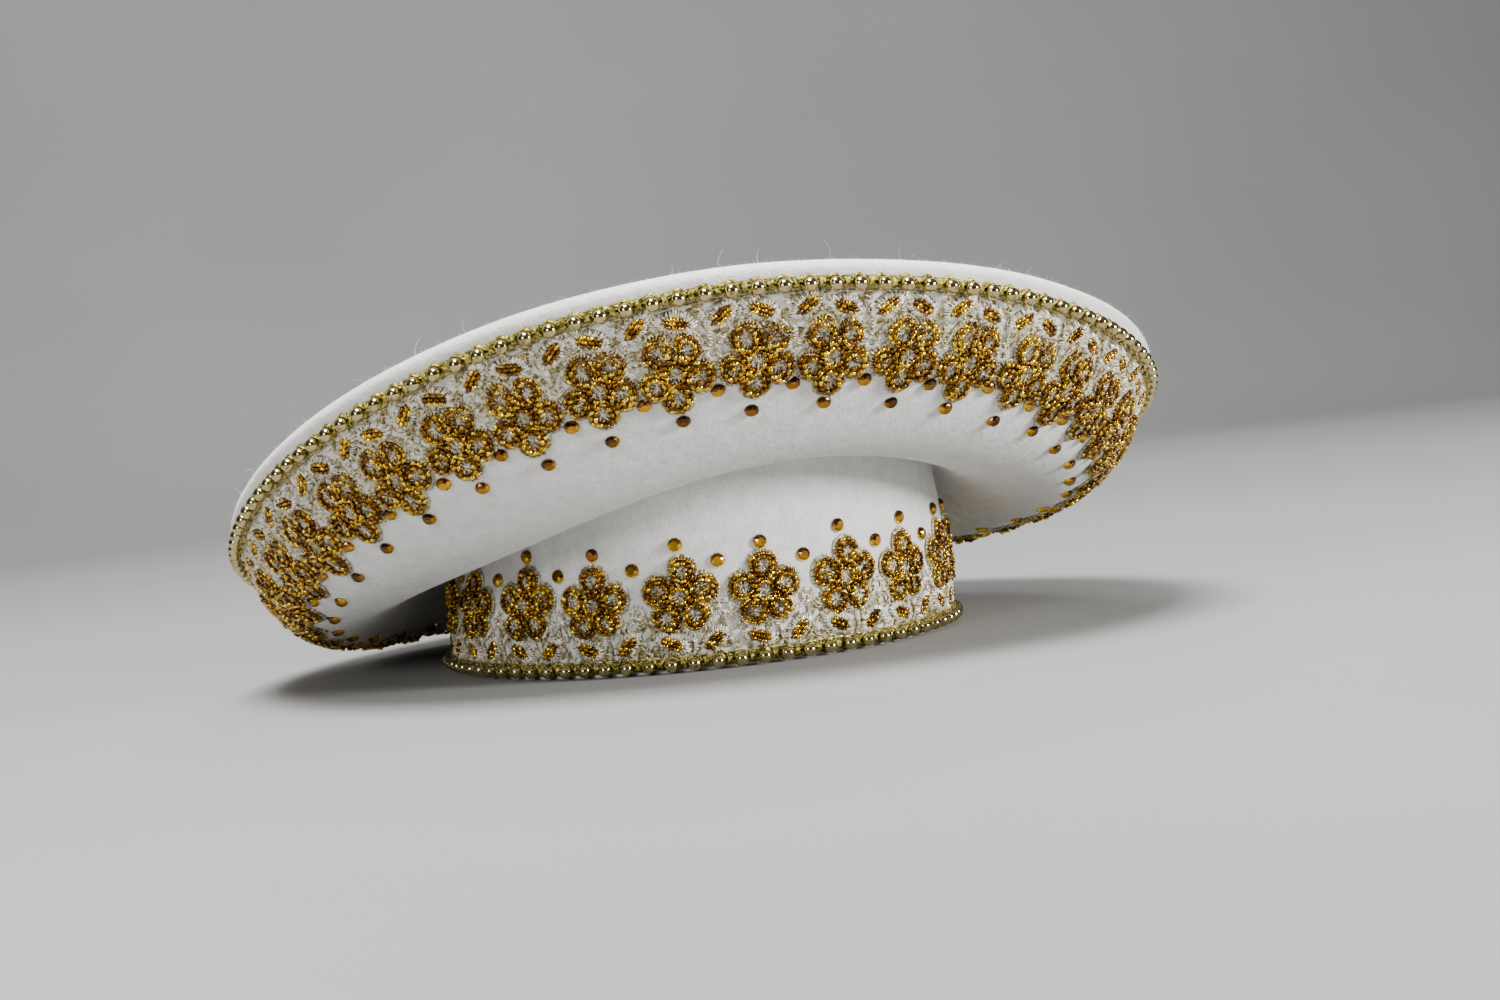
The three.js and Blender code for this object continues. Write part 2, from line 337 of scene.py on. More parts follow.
    def placed(self, points: Array) -> Array:
        """Moves points into the hat's place and gives them the slow wobble of hand-blocked felt.

        Args:
            points: Points round the middle of the collar.

        Returns:
            The points in the hat's own frame.
        """
        flat = points.reshape(-1, 3)
        noise.seed_set(self.wobble_seed)
        drift = np.array([noise.noise_vector(Vector(point) / self.wobble_length) for point in flat])
        rise = np.clip(flat[:, 2:] / self.crease_back_height, 0, 1)
        moved = flat + self.wobble * drift * rise * np.array([1, 1, self.wobble_rise])
        moved[:, :2] += np.array(self.centre)
        return moved.reshape(points.shape)


class Face(Enum):
    """The stretches of felt that trims lie on."""

    COLLAR = "collar"
    HALO = "halo"


@dataclass(frozen=True)
class FeltFace:
    """One stretch of the felt's outer face, measured along the felt.

    Distances start at the collar's edge, and at the halo's corner, where they run towards the crease.
    """

    block: HatBlock
    face: Face
    samples: int = 120
    rounding: float = 1.5 * MM
    rounding_steps: int = 7
    overhang: float = 8 * MM

    def profile(self, angle: float) -> tuple[Array, float]:
        """Finds the face's section at one angle.

        Args:
            angle: The angle from the front.

        Returns:
            The section's points, and the length along them at which distances start.
        """
        one = np.array([angle])
        t = np.linspace(0, 1, self.samples)
        if self.face is Face.COLLAR:
            wall = self.block.wall(one, t)[0]
            below = wall[0] - unit(wall[1] - wall[0]) * self.overhang
            return np.vstack([below, wall]), self.overhang
        underside = self.block.underside(one, t)[0][::-1]
        edge = smooth_path(self.block.edge_knots, self.samples // 2)[::-1]
        turned = self.block.corner_point(np.full(len(edge), angle), edge[:, 0], edge[:, 1])
        return np.vstack([turned[:-1], underside]), float(distances_along(turned)[-1])

    def points(self, angles: Array, distances: Array) -> Array:
        """Places points on the face, with its corner a little rounded.

        Args:
            angles: The angles from the front.
            distances: The distances along the felt.

        Returns:
            The points, by angle and distance, before the wobble.
        """
        spread = np.linspace(-self.rounding, self.rounding, self.rounding_steps)
        if self.face is Face.COLLAR:
            spread = spread[:1] * 0
        rows = []
        for angle in angles:
            section, start = self.profile(float(angle))
            shifted = [at_lengths(section, distances + start + shift) for shift in spread]
            rows.append(np.mean(shifted, axis=0))
        return np.array(rows)


# Meshes and node trees


def linked(name: str, data: bpy.types.ID) -> Object:
    """Puts a mesh, a camera or a light into the scene.

    Args:
        name: The object's name.
        data: The mesh, camera or light.

    Returns:
        The new object.
    """
    made = bpy.data.objects.new(name, data)
    bpy.context.scene.collection.objects.link(made)
    return made


def helper(made: Object) -> Object:
    """Marks an object as a helper, which is removed at the end."""
    made["helper"] = made.hide_render = True
    return made


def remove_helpers() -> None:
    """Removes the helpers once every piece is a plain mesh."""
    for made in [o for o in bpy.data.objects if o.get("helper")]:
        bpy.data.objects.remove(made)


def mesh_object(
    name: str,
    points: Sequence,
    faces: Sequence = (),
    edges: Sequence = (),
    smooth: bool = True,
    **stored: Sequence,
) -> Object:
    """Makes an object from points, edges and faces.

    Args:
        name: The object's name.
        points: The vertices.
        faces: The faces, as vertex numbers.
        edges: The loose edges, as vertex numbers.
        smooth: Whether its faces are shaded smooth.
        stored: Numbers or vectors for the vertices to store, by the attribute's name.

    Returns:
        The new object.
    """
    mesh = bpy.data.meshes.new(name)
    mesh.from_pydata(np.asarray(points, float).tolist(), list(edges), list(faces))
    mesh.polygons.foreach_set("use_smooth", [smooth] * len(mesh.polygons))
    mesh.update()
    for label, values in stored.items():
        values = np.asarray(values, np.float32)
        kind, slot = (VECTOR, "vector") if values.ndim == 2 else ("FLOAT", "value")
        mesh.attributes.new(label, kind, "POINT").data.foreach_set(slot, values.ravel())
    return linked(name, mesh)


def grid_faces(rows: int, columns: int, closed: bool) -> Faces:
    """Lists the faces of a grid whose points go column by column.

    Args:
        rows: The points in a column.
        columns: The number of columns.
        closed: Whether the last column joins the first.

    Returns:
        The faces, as vertex numbers.
    """
    faces = []
    for column in range(columns if closed else columns - 1):
        after = (column + 1) % columns
        for row in range(rows - 1):
            here, there = column * rows + row, after * rows + row
            faces.append((here, there, there + 1, here + 1))
    return faces


def tube_faces(rings: int, sides: int, first: int = 0) -> Faces:
    """Lists the faces between rings of points, each ring joined to the next one.

    Args:
        rings: How many rings there are.
        sides: The points in a ring, counterclockwise round the way from ring to ring.
        first: The number of the first point.

    Returns:
        The faces, as vertex numbers.
    """
    faces = []
    for ring in range(first, first + (rings - 1) * sides, sides):
        for side in range(sides):
            here, after = ring + side, ring + (side + 1) % sides
            faces.append((here, after, after + sides, here + sides))
    return faces


def fan_faces(ring: int, sides: int, tip: int, above: bool = True) -> Faces:
    """Lists the triangles from a ring, given by its first point, to a tip above it or below it."""
    pairs = [(ring + side, ring + (side + 1) % sides) for side in range(sides)]
    return [(here, after, tip) if above else (after, here, tip) for here, after in pairs]


class TreeBuilder:
    """Adds nodes to a node tree and joins them."""

    def __init__(self, tree: bpy.types.NodeTree) -> None:
        """Starts on an empty or a new tree."""
        self.tree = tree

    def put(self, socket: Socket, value: object) -> None:
        """Joins a node's input to a socket, or sets it to a value.

        Args:
            socket: The input.
            value: Another node's output, or a value.
        """
        if isinstance(value, Socket):
            self.tree.links.new(value, socket)
        else:
            socket.default_value = value

    def add(self, kind: str, inputs: dict | None = None, **settings: object) -> bpy.types.Node:
        """Adds a node.

        Args:
            kind: The node's type.
            inputs: Sockets to join, or values, by the input's name or number.
            settings: The node's own options.

        Returns:
            The new node.
        """
        node = self.tree.nodes.new(kind)
        for name, value in settings.items():
            setattr(node, name, value)
        for key, value in (inputs or {}).items():
            named = (socket for socket in node.inputs if socket.enabled and socket.name == key)
            self.put(node.inputs[key] if isinstance(key, int) else next(named), value)
        return node

    def out(self, kind: str, inputs: dict | None = None, name: str = "", **settings: object) -> Socket:
        """Adds a node and returns its named output, or its first one."""
        node = self.add(kind, inputs, **settings)
        return next(socket for socket in node.outputs if socket.enabled and name in ("", socket.name))

    def math(self, operation: str, *values: object) -> Socket:
        """Returns the result of a math node."""
        return self.out("ShaderNodeMath", dict(enumerate(values)), operation=operation)

    def scaled(self, vector: Socket, factor: object) -> Socket:
        """Returns a vector times a number."""
        return self.out("ShaderNodeVectorMath", {0: vector, "Scale": factor}, operation="SCALE")

    def total(self, first: Socket, second: Socket) -> Socket:
        """Returns the sum of two vectors."""
        return self.out("ShaderNodeVectorMath", {0: first, 1: second}, operation="ADD")

    def mixed(self, factor: object, first: object, second: object, kind: str = "FLOAT") -> Socket:
        """Returns a mix of two values."""
        return self.out("ShaderNodeMix", {"Factor": factor, "A": first, "B": second}, data_type=kind)


class GeometryTree(TreeBuilder):
    """A geometry node tree with named inputs."""

    def __init__(self, name: str, sizes: dict[str, str]) -> None:
        """Makes the tree.

        Args:
            name: The tree's name.
            sizes: The kind of each named input. A Material is always there.
        """
        super().__init__(bpy.data.node_groups.new(name, "GeometryNodeTree"))
        interface = self.tree.interface
        for size, kind in (sizes | {"Material": "Material"}).items():
            interface.new_socket(size, in_out="INPUT", socket_type=f"NodeSocket{kind}")
        interface.new_socket("Geometry", in_out="OUTPUT", socket_type="NodeSocketGeometry")
        self.inputs = self.tree.nodes.new("NodeGroupInput")
        self.outputs = self.tree.nodes.new("NodeGroupOutput")

    def size(self, name: str) -> Socket:
        """Returns the socket of a named input."""
        return self.inputs.outputs[name]

    def geometry(self, name: str) -> Socket:
        """Returns the geometry of the object in a named input."""
        return self.out("GeometryNodeObjectInfo", {"Object": self.size(name)}, "Geometry")

    def named(self, name: str, kind: str = "FLOAT") -> Socket:
        """Returns a stored number or vector."""
        return self.out("GeometryNodeInputNamedAttribute", {"Name": name}, data_type=kind)

    def random(self, least: object, most: object, kind: str = "FLOAT") -> Socket:
        """Returns a random value for each instance, drawn with the tree's seed."""
        limits = {"Min": least, "Max": most, "Seed": self.size("Seed")}
        return self.out("FunctionNodeRandomValue", limits, data_type=kind)

    def unsettled(self, rotation: Socket, swing: Socket) -> dict[str, Socket]:
        """Makes instances a little uneven.

        Args:
            rotation: The rotation of each instance.
            swing: The greatest random turn about each of its axes.

        Returns:
            The rotations and sizes, by the names of the inputs that take them.
        """
        draw = self.random(self.scaled(swing, -1.0), swing, VECTOR)
        turn = self.out("FunctionNodeEulerToRotation", {"Euler": draw})
        turned = {"Rotation": rotation, "Rotate By": turn}
        turned = self.out("FunctionNodeRotateRotation", turned, rotation_space="LOCAL")
        least = self.math("SUBTRACT", 1.0, self.size("Spread"))
        return {"Rotation": turned, "Scale": self.random(least, 1.0)}

    def repeated(self) -> Socket:
        """Lays the motif out in a row of repeats, still flat, and stores each point's flat place.

        Returns:
            The row's geometry.
        """
        offset = self.out("ShaderNodeCombineXYZ", {"X": self.size("Pitch")})
        row = {"Count": self.size("Repeats"), "Offset": offset}
        row = self.out("GeometryNodeMeshLine", row, mode="OFFSET")
        placed = {"Points": row, "Instance": self.geometry("Motif")}
        placed = self.out("GeometryNodeInstanceOnPoints", placed)
        flat = self.out("GeometryNodeRealizeInstances", {"Geometry": placed})
        position = self.out("GeometryNodeInputPosition")
        stored = {"Geometry": flat, "Name": "flat_place", "Value": position}
        return self.out("GeometryNodeStoreNamedAttribute", stored, data_type=VECTOR, domain="POINT")

    def felt_value(self, value: Socket) -> Socket:
        """Reads a value of the felt's map at each point's flat place.

        Args:
            value: The value on the map.

        Returns:
            The value that was read.
        """
        reading = {
            "Mesh": self.geometry("Felt map"),
            "Value": value,
            "UV Map": self.named("flat", VECTOR),
            "Sample UV": self.named("flat_place", VECTOR),
        }
        return self.out("GeometryNodeSampleUVSurface", reading, data_type=VECTOR)

    def felt_direction(self, name: str) -> Socket:
        """Reads a direction that the felt's map stores."""
        return self.felt_value(self.named(name, VECTOR))

    def laid(self, flat: Socket) -> Socket:
        """Moves flat geometry onto the felt, with its height kept as the distance off the felt.

        Args:
            flat: The flat geometry.

        Returns:
            The geometry on the felt.
        """
        surface = self.felt_value(self.out("GeometryNodeInputPosition"))
        height = self.out("ShaderNodeSeparateXYZ", {0: self.named("flat_place", VECTOR)}, "Z")
        position = self.total(surface, self.scaled(self.felt_direction("off_felt"), height))
        return self.out("GeometryNodeSetPosition", {"Geometry": flat, "Position": position})

    def finish(self, geometry: Socket, smooth: bool | Socket = True) -> "GeometryTree":
        """Realizes the geometry and gives it its material and shading.

        Args:
            geometry: The geometry.
            smooth: Whether its faces are shaded smooth.

        Returns:
            The tree itself.
        """
        real = self.out("GeometryNodeRealizeInstances", {"Geometry": geometry})
        shaded = self.out("GeometryNodeSetShadeSmooth", {"Geometry": real, "Shade Smooth": smooth})
        dressed = {"Geometry": shaded, "Material": self.size("Material")}
        self.put(self.outputs.inputs["Geometry"], self.out("GeometryNodeSetMaterial", dressed))
        return self

    def grow(self, name: str, values: dict[str, object]) -> Object:
        """Runs the tree and keeps its result as a plain mesh.

        Args:
            name: The name of the new object.
            values: The value of each named input.

        Returns:
            The new object, with no modifier.
        """
        grown = linked(name, bpy.data.meshes.new(name))
        modifier = grown.modifiers.new("Geometry", "NODES")
        modifier.node_group = self.tree
        for item in self.tree.interface.items_tree:
            if item.in_out == "INPUT":
                modifier[item.identifier] = values[item.name]
        grown.update_tag()
        bpy.context.view_layer.update()
        depsgraph = bpy.context.evaluated_depsgraph_get()
        evaluated = grown.evaluated_get(depsgraph)
        result = bpy.data.meshes.new_from_object(
            evaluated, preserve_all_data_layers=True, depsgraph=depsgraph
        )
        grown.modifiers.remove(modifier)
        grown.data = result
        result.name = name
        return grown


def strand_tree() -> GeometryTree:
    """Makes the tree that lays threads and cords on the felt.

    Returns:
        The tree. Its motif is a set of edges whose vertices store their thickness.
    """
    tree = GeometryTree("strands on felt", MOTIF_INPUTS | {"Sides": "Int"})
    lines = {"Geometry": tree.laid(tree.repeated()), "Distance": JOIN_DISTANCE}
    lines = tree.out("GeometryNodeMergeByDistance", lines)
    section = {"Resolution": tree.size("Sides"), "Radius": 1.0}
    tube = {
        "Curve": tree.out("GeometryNodeMeshToCurve", {"Mesh": lines}),
        "Profile Curve": tree.out("GeometryNodeCurvePrimitiveCircle", section),
        "Scale": tree.named("thickness"),
        "Fill Caps": True,
    }
    return tree.finish(tree.out("GeometryNodeCurveToMesh", tube))


def bead_tree() -> GeometryTree:
    """Makes the tree that sews beads and stones on the felt.

    Returns:
        The tree. Its motif is a set of points that store their heading.
    """
    kinds = {"Bead": "Object", "Swing": "Float", "Roll": "Float", "Spread": "Float"}
    kinds |= {"Seed": "Int", "Smooth": "Bool"}
    tree = GeometryTree("beads on felt", MOTIF_INPUTS | kinds)
    flat = tree.repeated()
    heading = tree.named("heading")
    east = tree.scaled(tree.felt_direction("around"), tree.math("COSINE", heading))
    north = tree.scaled(tree.felt_direction("along"), tree.math("SINE", heading))
    axes = {"Primary Axis": tree.felt_direction("off_felt"), "Secondary Axis": tree.total(east, north)}
    turned = tree.out("FunctionNodeAxesToRotation", axes, primary_axis="Z", secondary_axis="X")
    swing = {"X": tree.size("Roll"), "Y": tree.size("Swing"), "Z": tree.size("Swing")}
    swing = tree.out("ShaderNodeCombineXYZ", swing)
    points = tree.out("GeometryNodeMeshToPoints", {"Mesh": tree.laid(flat)})
    sewn = {"Points": points, "Instance": tree.geometry("Bead")} | tree.unsettled(turned, swing)
    beads = tree.out("GeometryNodeInstanceOnPoints", sewn)
    stored = {"Geometry": beads, "Name": "tint", "Value": tree.random(0.0, 1.0)}
    beads = tree.out("GeometryNodeStoreNamedAttribute", stored, data_type="FLOAT", domain="INSTANCE")
    return tree.finish(beads, tree.size("Smooth"))


def patch_tree() -> GeometryTree:
    """Makes the tree that lays padded shapes on the felt."""
    tree = GeometryTree("patches on felt", MOTIF_INPUTS)
    return tree.finish(tree.laid(tree.repeated()))


def fibre_tree() -> GeometryTree:
    """Makes the tree that scatters loose fibres over the felt.

    Returns:
        The tree. Fibres stand where the felt's stored nap is over 0, and more thickly where it is greater.
    """
    kinds = {"Felt": "Object", "Fibre": "Object", "Density": "Float", "Lean": "Float", "Spread": "Float"}
    tree = GeometryTree("fibres on felt", kinds | {"Seed": "Int"})
    density = tree.math("MULTIPLY", tree.named("nap"), tree.size("Density"))
    scatter = {"Mesh": tree.geometry("Felt"), "Density": density, "Seed": tree.size("Seed")}
    scatter = tree.add("GeometryNodeDistributePointsOnFaces", scatter, distribute_method="RANDOM")
    lean = {"X": tree.size("Lean"), "Y": tree.size("Lean"), "Z": math.pi}
    lean = tree.out("ShaderNodeCombineXYZ", lean)
    grown = {"Points": scatter.outputs["Points"], "Instance": tree.geometry("Fibre")}
    grown |= tree.unsettled(scatter.outputs["Rotation"], lean)
    return tree.finish(tree.out("GeometryNodeInstanceOnPoints", grown))


# Finishes


class Shader(TreeBuilder):
    """A material's nodes, round one principled shader."""

    def __init__(self, name: str) -> None:
        """Makes a material with its shader and its coordinates.

        Args:
            name: The material's name.
        """
        self.material = bpy.data.materials.new(name)
        self.material.use_nodes = True
        super().__init__(self.material.node_tree)
        self.surface = next(node for node in self.tree.nodes if node.type == "BSDF_PRINCIPLED")
        self.place = self.out("ShaderNodeTexCoord", name="Object")

    def set(self, **values: object) -> None:
        """Sets the shader's inputs by name, with underscores for spaces, to a value or a socket."""
        for name, value in values.items():
            self.put(self.surface.inputs[name.replace("_", " ")], value)

    def stored(self, name: str) -> Socket:
        """Returns a number that the mesh stores."""
        return self.out("ShaderNodeAttribute", name="Fac", attribute_name=name)

    def cloud(self, size: float, detail: float = 3.0, stretch: Triple = (1, 1, 1)) -> Socket:
        """Makes a soft random pattern.

        Args:
            size: The pattern's size.
            detail: How many finer layers it has.
            stretch: How much longer it is along each axis.

        Returns:
            The pattern's value, about 0.5 on average.
        """
        scale = tuple(1 / (size * s) for s in stretch)
        place = self.out("ShaderNodeMapping", {"Vector": self.place, "Scale": scale})
        return self.out("ShaderNodeTexNoise", {"Vector": place, "Scale": 1.0, "Detail": detail}, "Fac")

    def ramp(self, value: Socket, *stops: tuple[float, Triple]) -> Socket:
        """Turns a value into a colour.

        Args:
            value: The value.
            stops: The places and colours that the ramp goes through.

        Returns:
            The colour.
        """
        node = self.add("ShaderNodeValToRGB", {"Fac": value})
        elements = node.color_ramp.elements
        while len(elements) < len(stops):
            elements.new(0.5)
        for element, (position, colour) in zip(elements, stops):
            element.position = position
            element.color = (*colour, 1.0)
        return node.outputs["Color"]

    def bump(self, height: Socket, depth: float, strength: float, under: Socket | None = None) -> Socket:
        """Makes a surface relief.

        Args:
            height: The relief's height, from 0 to 1.
            depth: What a height of 1 stands for.
            strength: How strongly it shows.
            under: A relief that this one lies on.

        Returns:
            The relief's normal.
        """
        inputs = {"Height": height, "Distance": depth, "Strength": strength}
        if under is not None:
            inputs["Normal"] = under
        return self.out("ShaderNodeBump", inputs)


@dataclass(frozen=True)
class FeltFinish:
    """White wool felt: a matt mottled surface of matted fibres."""

    pale: Triple = (0.77, 0.765, 0.742)
    dull: Triple = (0.6, 0.597, 0.572)
    mottle: float = 5 * MM
    flecks: float = 0.9 * MM
    fibre: float = 0.4 * MM
    dents: float = 3 * MM

    def material(self) -> Material:
        """Makes the felt's material.

        Returns:
            The material.
        """
        shader = Shader("white_felt")
        mottle, flecks = shader.cloud(self.mottle, detail=4), shader.cloud(self.flecks, detail=2)
        colour = shader.ramp(shader.mixed(0.45, mottle, flecks), (0.3, self.dull), (0.62, self.pale))
        fibres = shader.cloud(self.fibre, stretch=(1, 2.5, 1.4))
        crossed = shader.cloud(self.fibre, stretch=(2.5, 1, 1.6))
        relief = shader.bump(shader.math("MAXIMUM", fibres, crossed), depth=0.25 * MM, strength=1)
        dents = shader.cloud(self.dents, detail=4)
        relief = shader.bump(dents, depth=0.6 * MM, strength=0.8, under=relief)
        shader.set(Base_Color=colour, Roughness=0.95, Normal=relief)
        shader.set(Specular_IOR_Level=0.2, Sheen_Weight=0.25, Sheen_Roughness=0.6)
        return shader.material


@dataclass(frozen=True)
class FibreFinish:
    """A single wool fibre: pale, with a little shine."""

    colour: Triple = (0.9, 0.89, 0.87)
    dull: Triple = (0.78, 0.77, 0.74)
    mottle: float = 4 * MM

    def material(self) -> Material:
        """Makes the fibres' material.

        Returns:
            The material.
        """
        shader = Shader("wool_fibre")
        tone = shader.ramp(shader.cloud(self.mottle, detail=1), (0.3, self.dull), (0.7, self.colour))
        shader.set(Base_Color=tone, Roughness=0.6, Sheen_Weight=0.2)
        return shader.material


@dataclass(frozen=True)
class ThreadFinish:
    """Metallic thread: dull to bright tones and a fine twist."""

    name: str
    dark: Triple
    middle: Triple
    bright: Triple
    metal: float
    roughness: float
    tone: float = 1.1 * MM
    twist: float = 0.5 * MM

    def material(self) -> Material:
        """Makes the thread's material.

        Returns:
            The material.
        """
        shader = Shader(self.name)
        stops = ((0.32, self.dark), (0.46, self.middle), (0.62, self.bright))
        colour = shader.ramp(shader.cloud(self.tone), *stops)
        relief = shader.bump(shader.cloud(self.twist, detail=2), depth=0.18 * MM, strength=0.9)
        shader.set(Base_Color=colour, Metallic=self.metal, Roughness=self.roughness, Normal=relief)
        return shader.material


SILVER_THREAD = ThreadFinish(
    "silver_thread", (0.2, 0.15, 0.06), (0.68, 0.6, 0.4), (0.99, 0.95, 0.84), metal=0.45, roughness=0.24
)
SATIN_THREAD = ThreadFinish(
    "satin_thread", (0.24, 0.19, 0.09), (0.78, 0.72, 0.56), (1.0, 0.97, 0.89), metal=0.35, roughness=0.25
)
# Net ground: the dense net's dull gold, partly darkened as painted shade between its threads.
NET_AND_SHADE_GROUND = ThreadFinish(
    "net_ground", (0.08, 0.058, 0.014), (0.24, 0.185, 0.07), (0.54, 0.46, 0.24), metal=0.35, roughness=0.4
)
# Silver ground under the hearts and leaves: partly its own dull silver, partly darkened as painted shade
# between the stitches.
SILVER_AND_SHADE_GROUND = ThreadFinish(
    "silver_ground", (0.06, 0.045, 0.015), (0.2, 0.16, 0.075), (0.46, 0.4, 0.25), metal=0.4, roughness=0.36
)
# Amber ground under the bead loops and in the leaves' cores: amber thread, partly darkened as painted shade
# and painted reflection in the gaps between the beads.
AMBER_AND_SHADE_GROUND = ThreadFinish(
    "amber_ground", (0.11, 0.042, 0.001), (0.3, 0.14, 0.004), (0.58, 0.33, 0.025), metal=0.6, roughness=0.3
)
PALE_GOLD_CORD = ThreadFinish(
    "pale_gold_cord", (0.1, 0.075, 0.015), (0.36, 0.29, 0.1), (0.86, 0.79, 0.5), metal=0.5, roughness=0.3
)
GOLD_BRAID = ThreadFinish(
    "gold_braid", (0.05, 0.038, 0.002), (0.23, 0.185, 0.022), (0.68, 0.59, 0.16), metal=0.65, roughness=0.27
)
BRAID_GROUND = ThreadFinish(
    "braid_ground", (0.035, 0.025, 0.002), (0.12, 0.09, 0.01), (0.3, 0.24, 0.05), metal=0.7, roughness=0.32
)


@dataclass(frozen=True)
class GlassBeadFinish:
    """Silver-lined amber glass: a tinted mirror under clear glass, with each bead in its own tone."""

    stops: tuple[tuple[float, Triple], ...] = (
        (0.25, (0.12, 0.045, 0.001)),
        (0.46, (0.3, 0.125, 0.001)),
        (0.64, (0.66, 0.38, 0.003)),
        (0.78, (1.0, 0.76, 0.08)),
    )
    streak: float = 0.6 * MM

    def material(self) -> Material:
        """Makes the glass beads' material.

        Returns:
            The material.
        """
        shader = Shader("silver_lined_amber")
        tone = shader.mixed(0.45, shader.stored("tint"), shader.cloud(self.streak, detail=2))
        relief = shader.bump(shader.cloud(self.streak, detail=1), depth=0.15 * MM, strength=0.7)
        shader.set(Base_Color=shader.ramp(tone, *self.stops), Metallic=1.0, Roughness=0.17, Normal=relief)
        shader.set(Coat_Weight=0.45, Coat_Roughness=0.03, Coat_IOR=1.5)
        return shader.material


@dataclass(frozen=True)
class MirrorBeadFinish:
    """A metallised bead: a pale gold mirror with faint wear."""

    colour: Triple = (0.54, 0.455, 0.215)
    worn: Triple = (0.26, 0.195, 0.05)
    wear: float = 1.6 * MM

    def material(self) -> Material:
        """Makes the metallised beads' material.

        Returns:
            The material.
        """
        shader = Shader("pale_gold_mirror")
        wear = shader.cloud(self.wear, detail=4)
        colour = shader.ramp(wear, (0.35, self.worn), (0.5, self.colour))
        gloss = {"Value": wear, "From Min": 0.3, "From Max": 0.6, "To Min": 0.2, "To Max": 0.08}
        gloss = shader.out("ShaderNodeMapRange", gloss)
        shader.set(Base_Color=colour, Metallic=1.0, Roughness=gloss)
        return shader.material


@dataclass(frozen=True)
class StoneFinish:
    """Foiled topaz glass with painted glow: facets painted dark towards one side and glowing towards the
    other, standing in for light that comes back through the glass.
    """

    stops: tuple[tuple[float, Triple], ...] = (
        (0.14, (0.04, 0.01, 0.0)),
        (0.4, (0.24, 0.09, 0.0)),
        (0.64, (0.8, 0.42, 0.003)),
        (0.86, (1.0, 0.8, 0.08)),
    )
    cloudiness: float = 1.4 * MM

    def material(self) -> Material:
        """Makes the stones' material.

        Returns:
            The material.
        """
        shader = Shader("foiled_topaz")
        # Painted glow: each facet's stored brightness, mixed with the stone's own random tint.
        tone = shader.mixed(0.75, shader.stored("tint"), shader.stored("glow"))
        tone = shader.mixed(0.2, tone, shader.cloud(self.cloudiness, detail=1))
        shader.set(Base_Color=shader.ramp(tone, *self.stops), Metallic=1.0, Roughness=0.14)
        shader.set(Coat_Weight=0.4, Coat_Roughness=0.02, Coat_IOR=1.55)
        return shader.material


@dataclass(frozen=True)
class StudioFinish:
    """Plain pale studio paper."""

    colour: Triple = (0.26, 0.258, 0.253)
    light: Triple = (0.28, 0.278, 0.273)
    mottle: float = 400 * MM

    def material(self) -> Material:
        """Makes the paper's material.

        Returns:
            The material.
        """
        shader = Shader("studio_paper")
        tone = shader.ramp(shader.cloud(self.mottle, detail=2), (0.3, self.colour), (0.7, self.light))
        shader.set(Base_Color=tone, Roughness=0.85, Specular_IOR_Level=0.2)
        return shader.material


# Flat motifs


def headings(turn: float) -> tuple[Array, Array]:
    """Returns the flat direction at an angle, and the one to its left."""
    out = np.array([math.cos(turn), math.sin(turn)])
    return out, np.array([-out[1], out[0]])


@dataclass
class Motif:
    """Flat geometry of one repeat, with the height off the felt as Z and a number for each point."""

    stored: str = ""
    points: list = field(default_factory=list)
    values: list = field(default_factory=list)
    edges: list = field(default_factory=list)
    faces: list = field(default_factory=list)

    def motif(self, name: str) -> Object:
        """Makes the motif's object, a helper."""
        stored = {self.stored: self.values} if self.stored else {}
        return helper(mesh_object(name, self.points, self.faces, self.edges, **stored))


@dataclass
class Strands(Motif):
    """Threads and cords of a flat motif, as joined points that store their radius."""

    stored: str = "thickness"

    def add(self, path: Sequence[Sequence[float]], radius: float, closed: bool = False) -> None:
        """Adds one strand.

        Args:
            path: The points that it follows.
            radius: Its radius.
            closed: Whether its end joins its start.
        """
        first, count = len(self.points), len(path)
        self.points.extend(path)
        self.values.extend([radius] * count)
        self.edges.extend((place, place + 1) for place in range(first, first + count - 1))
        if closed:
            self.edges.append((first + count - 1, first))


@dataclass
class BeadSpots(Motif):
    """Places for beads in a flat motif, which store the direction of their thread."""

    stored: str = "heading"
    nudge: float = 0.1 * MM

    def add(self, place: Sequence[float], height: float, heading: float = 0.0) -> None:
        """Adds one place, with its height off the felt and the thread's direction."""
        self.points.append((*place, height))
        self.values.append(heading)

    def along(self, path: Array, count: int, height: float) -> None:
        """Adds beads end to end along a path that goes round.

        Args:
            path: The path's points, flat.
            count: How many beads.
            height: The height of their middles off the felt.
        """
        line = np.vstack([path, path[:1]])
        middles = (np.arange(count) + 0.5) * distances_along(line)[-1] / count
        ahead = at_lengths(line, middles + self.nudge) - at_lengths(line, middles - self.nudge)
        for place, step in zip(at_lengths(line, middles), ahead):
            self.add(place, height, math.atan2(step[1], step[0]))


@dataclass
class Pads(Motif):
    """Low padded shapes of a flat motif: closed domes of rings, as shares of their outline and height."""

    rings: tuple[Pair, ...] = ((1.0, 0.0), (1.0, 0.3), (0.6, 0.8))

    def add(self, outline: Array, height: float, base: float = 0.05 * MM) -> None:
        """Adds one dome.

        Args:
            outline: Its outline, counterclockwise.
            height: The height of its middle off the felt.
            base: The height of its flat underside.
        """
        first, sides, middle = len(self.points), len(outline), outline.mean(axis=0)
        for share, level in self.rings:
            self.points.extend(raised(middle + (outline - middle) * share, base + level * (height - base)))
        self.points += [(*middle, height), (*middle, base)]
        top, last = len(self.points) - 2, first + (len(self.rings) - 1) * sides
        self.faces += tube_faces(len(self.rings), sides, first) + fan_faces(last, sides, top)
        self.faces += fan_faces(first, sides, top + 1, above=False)


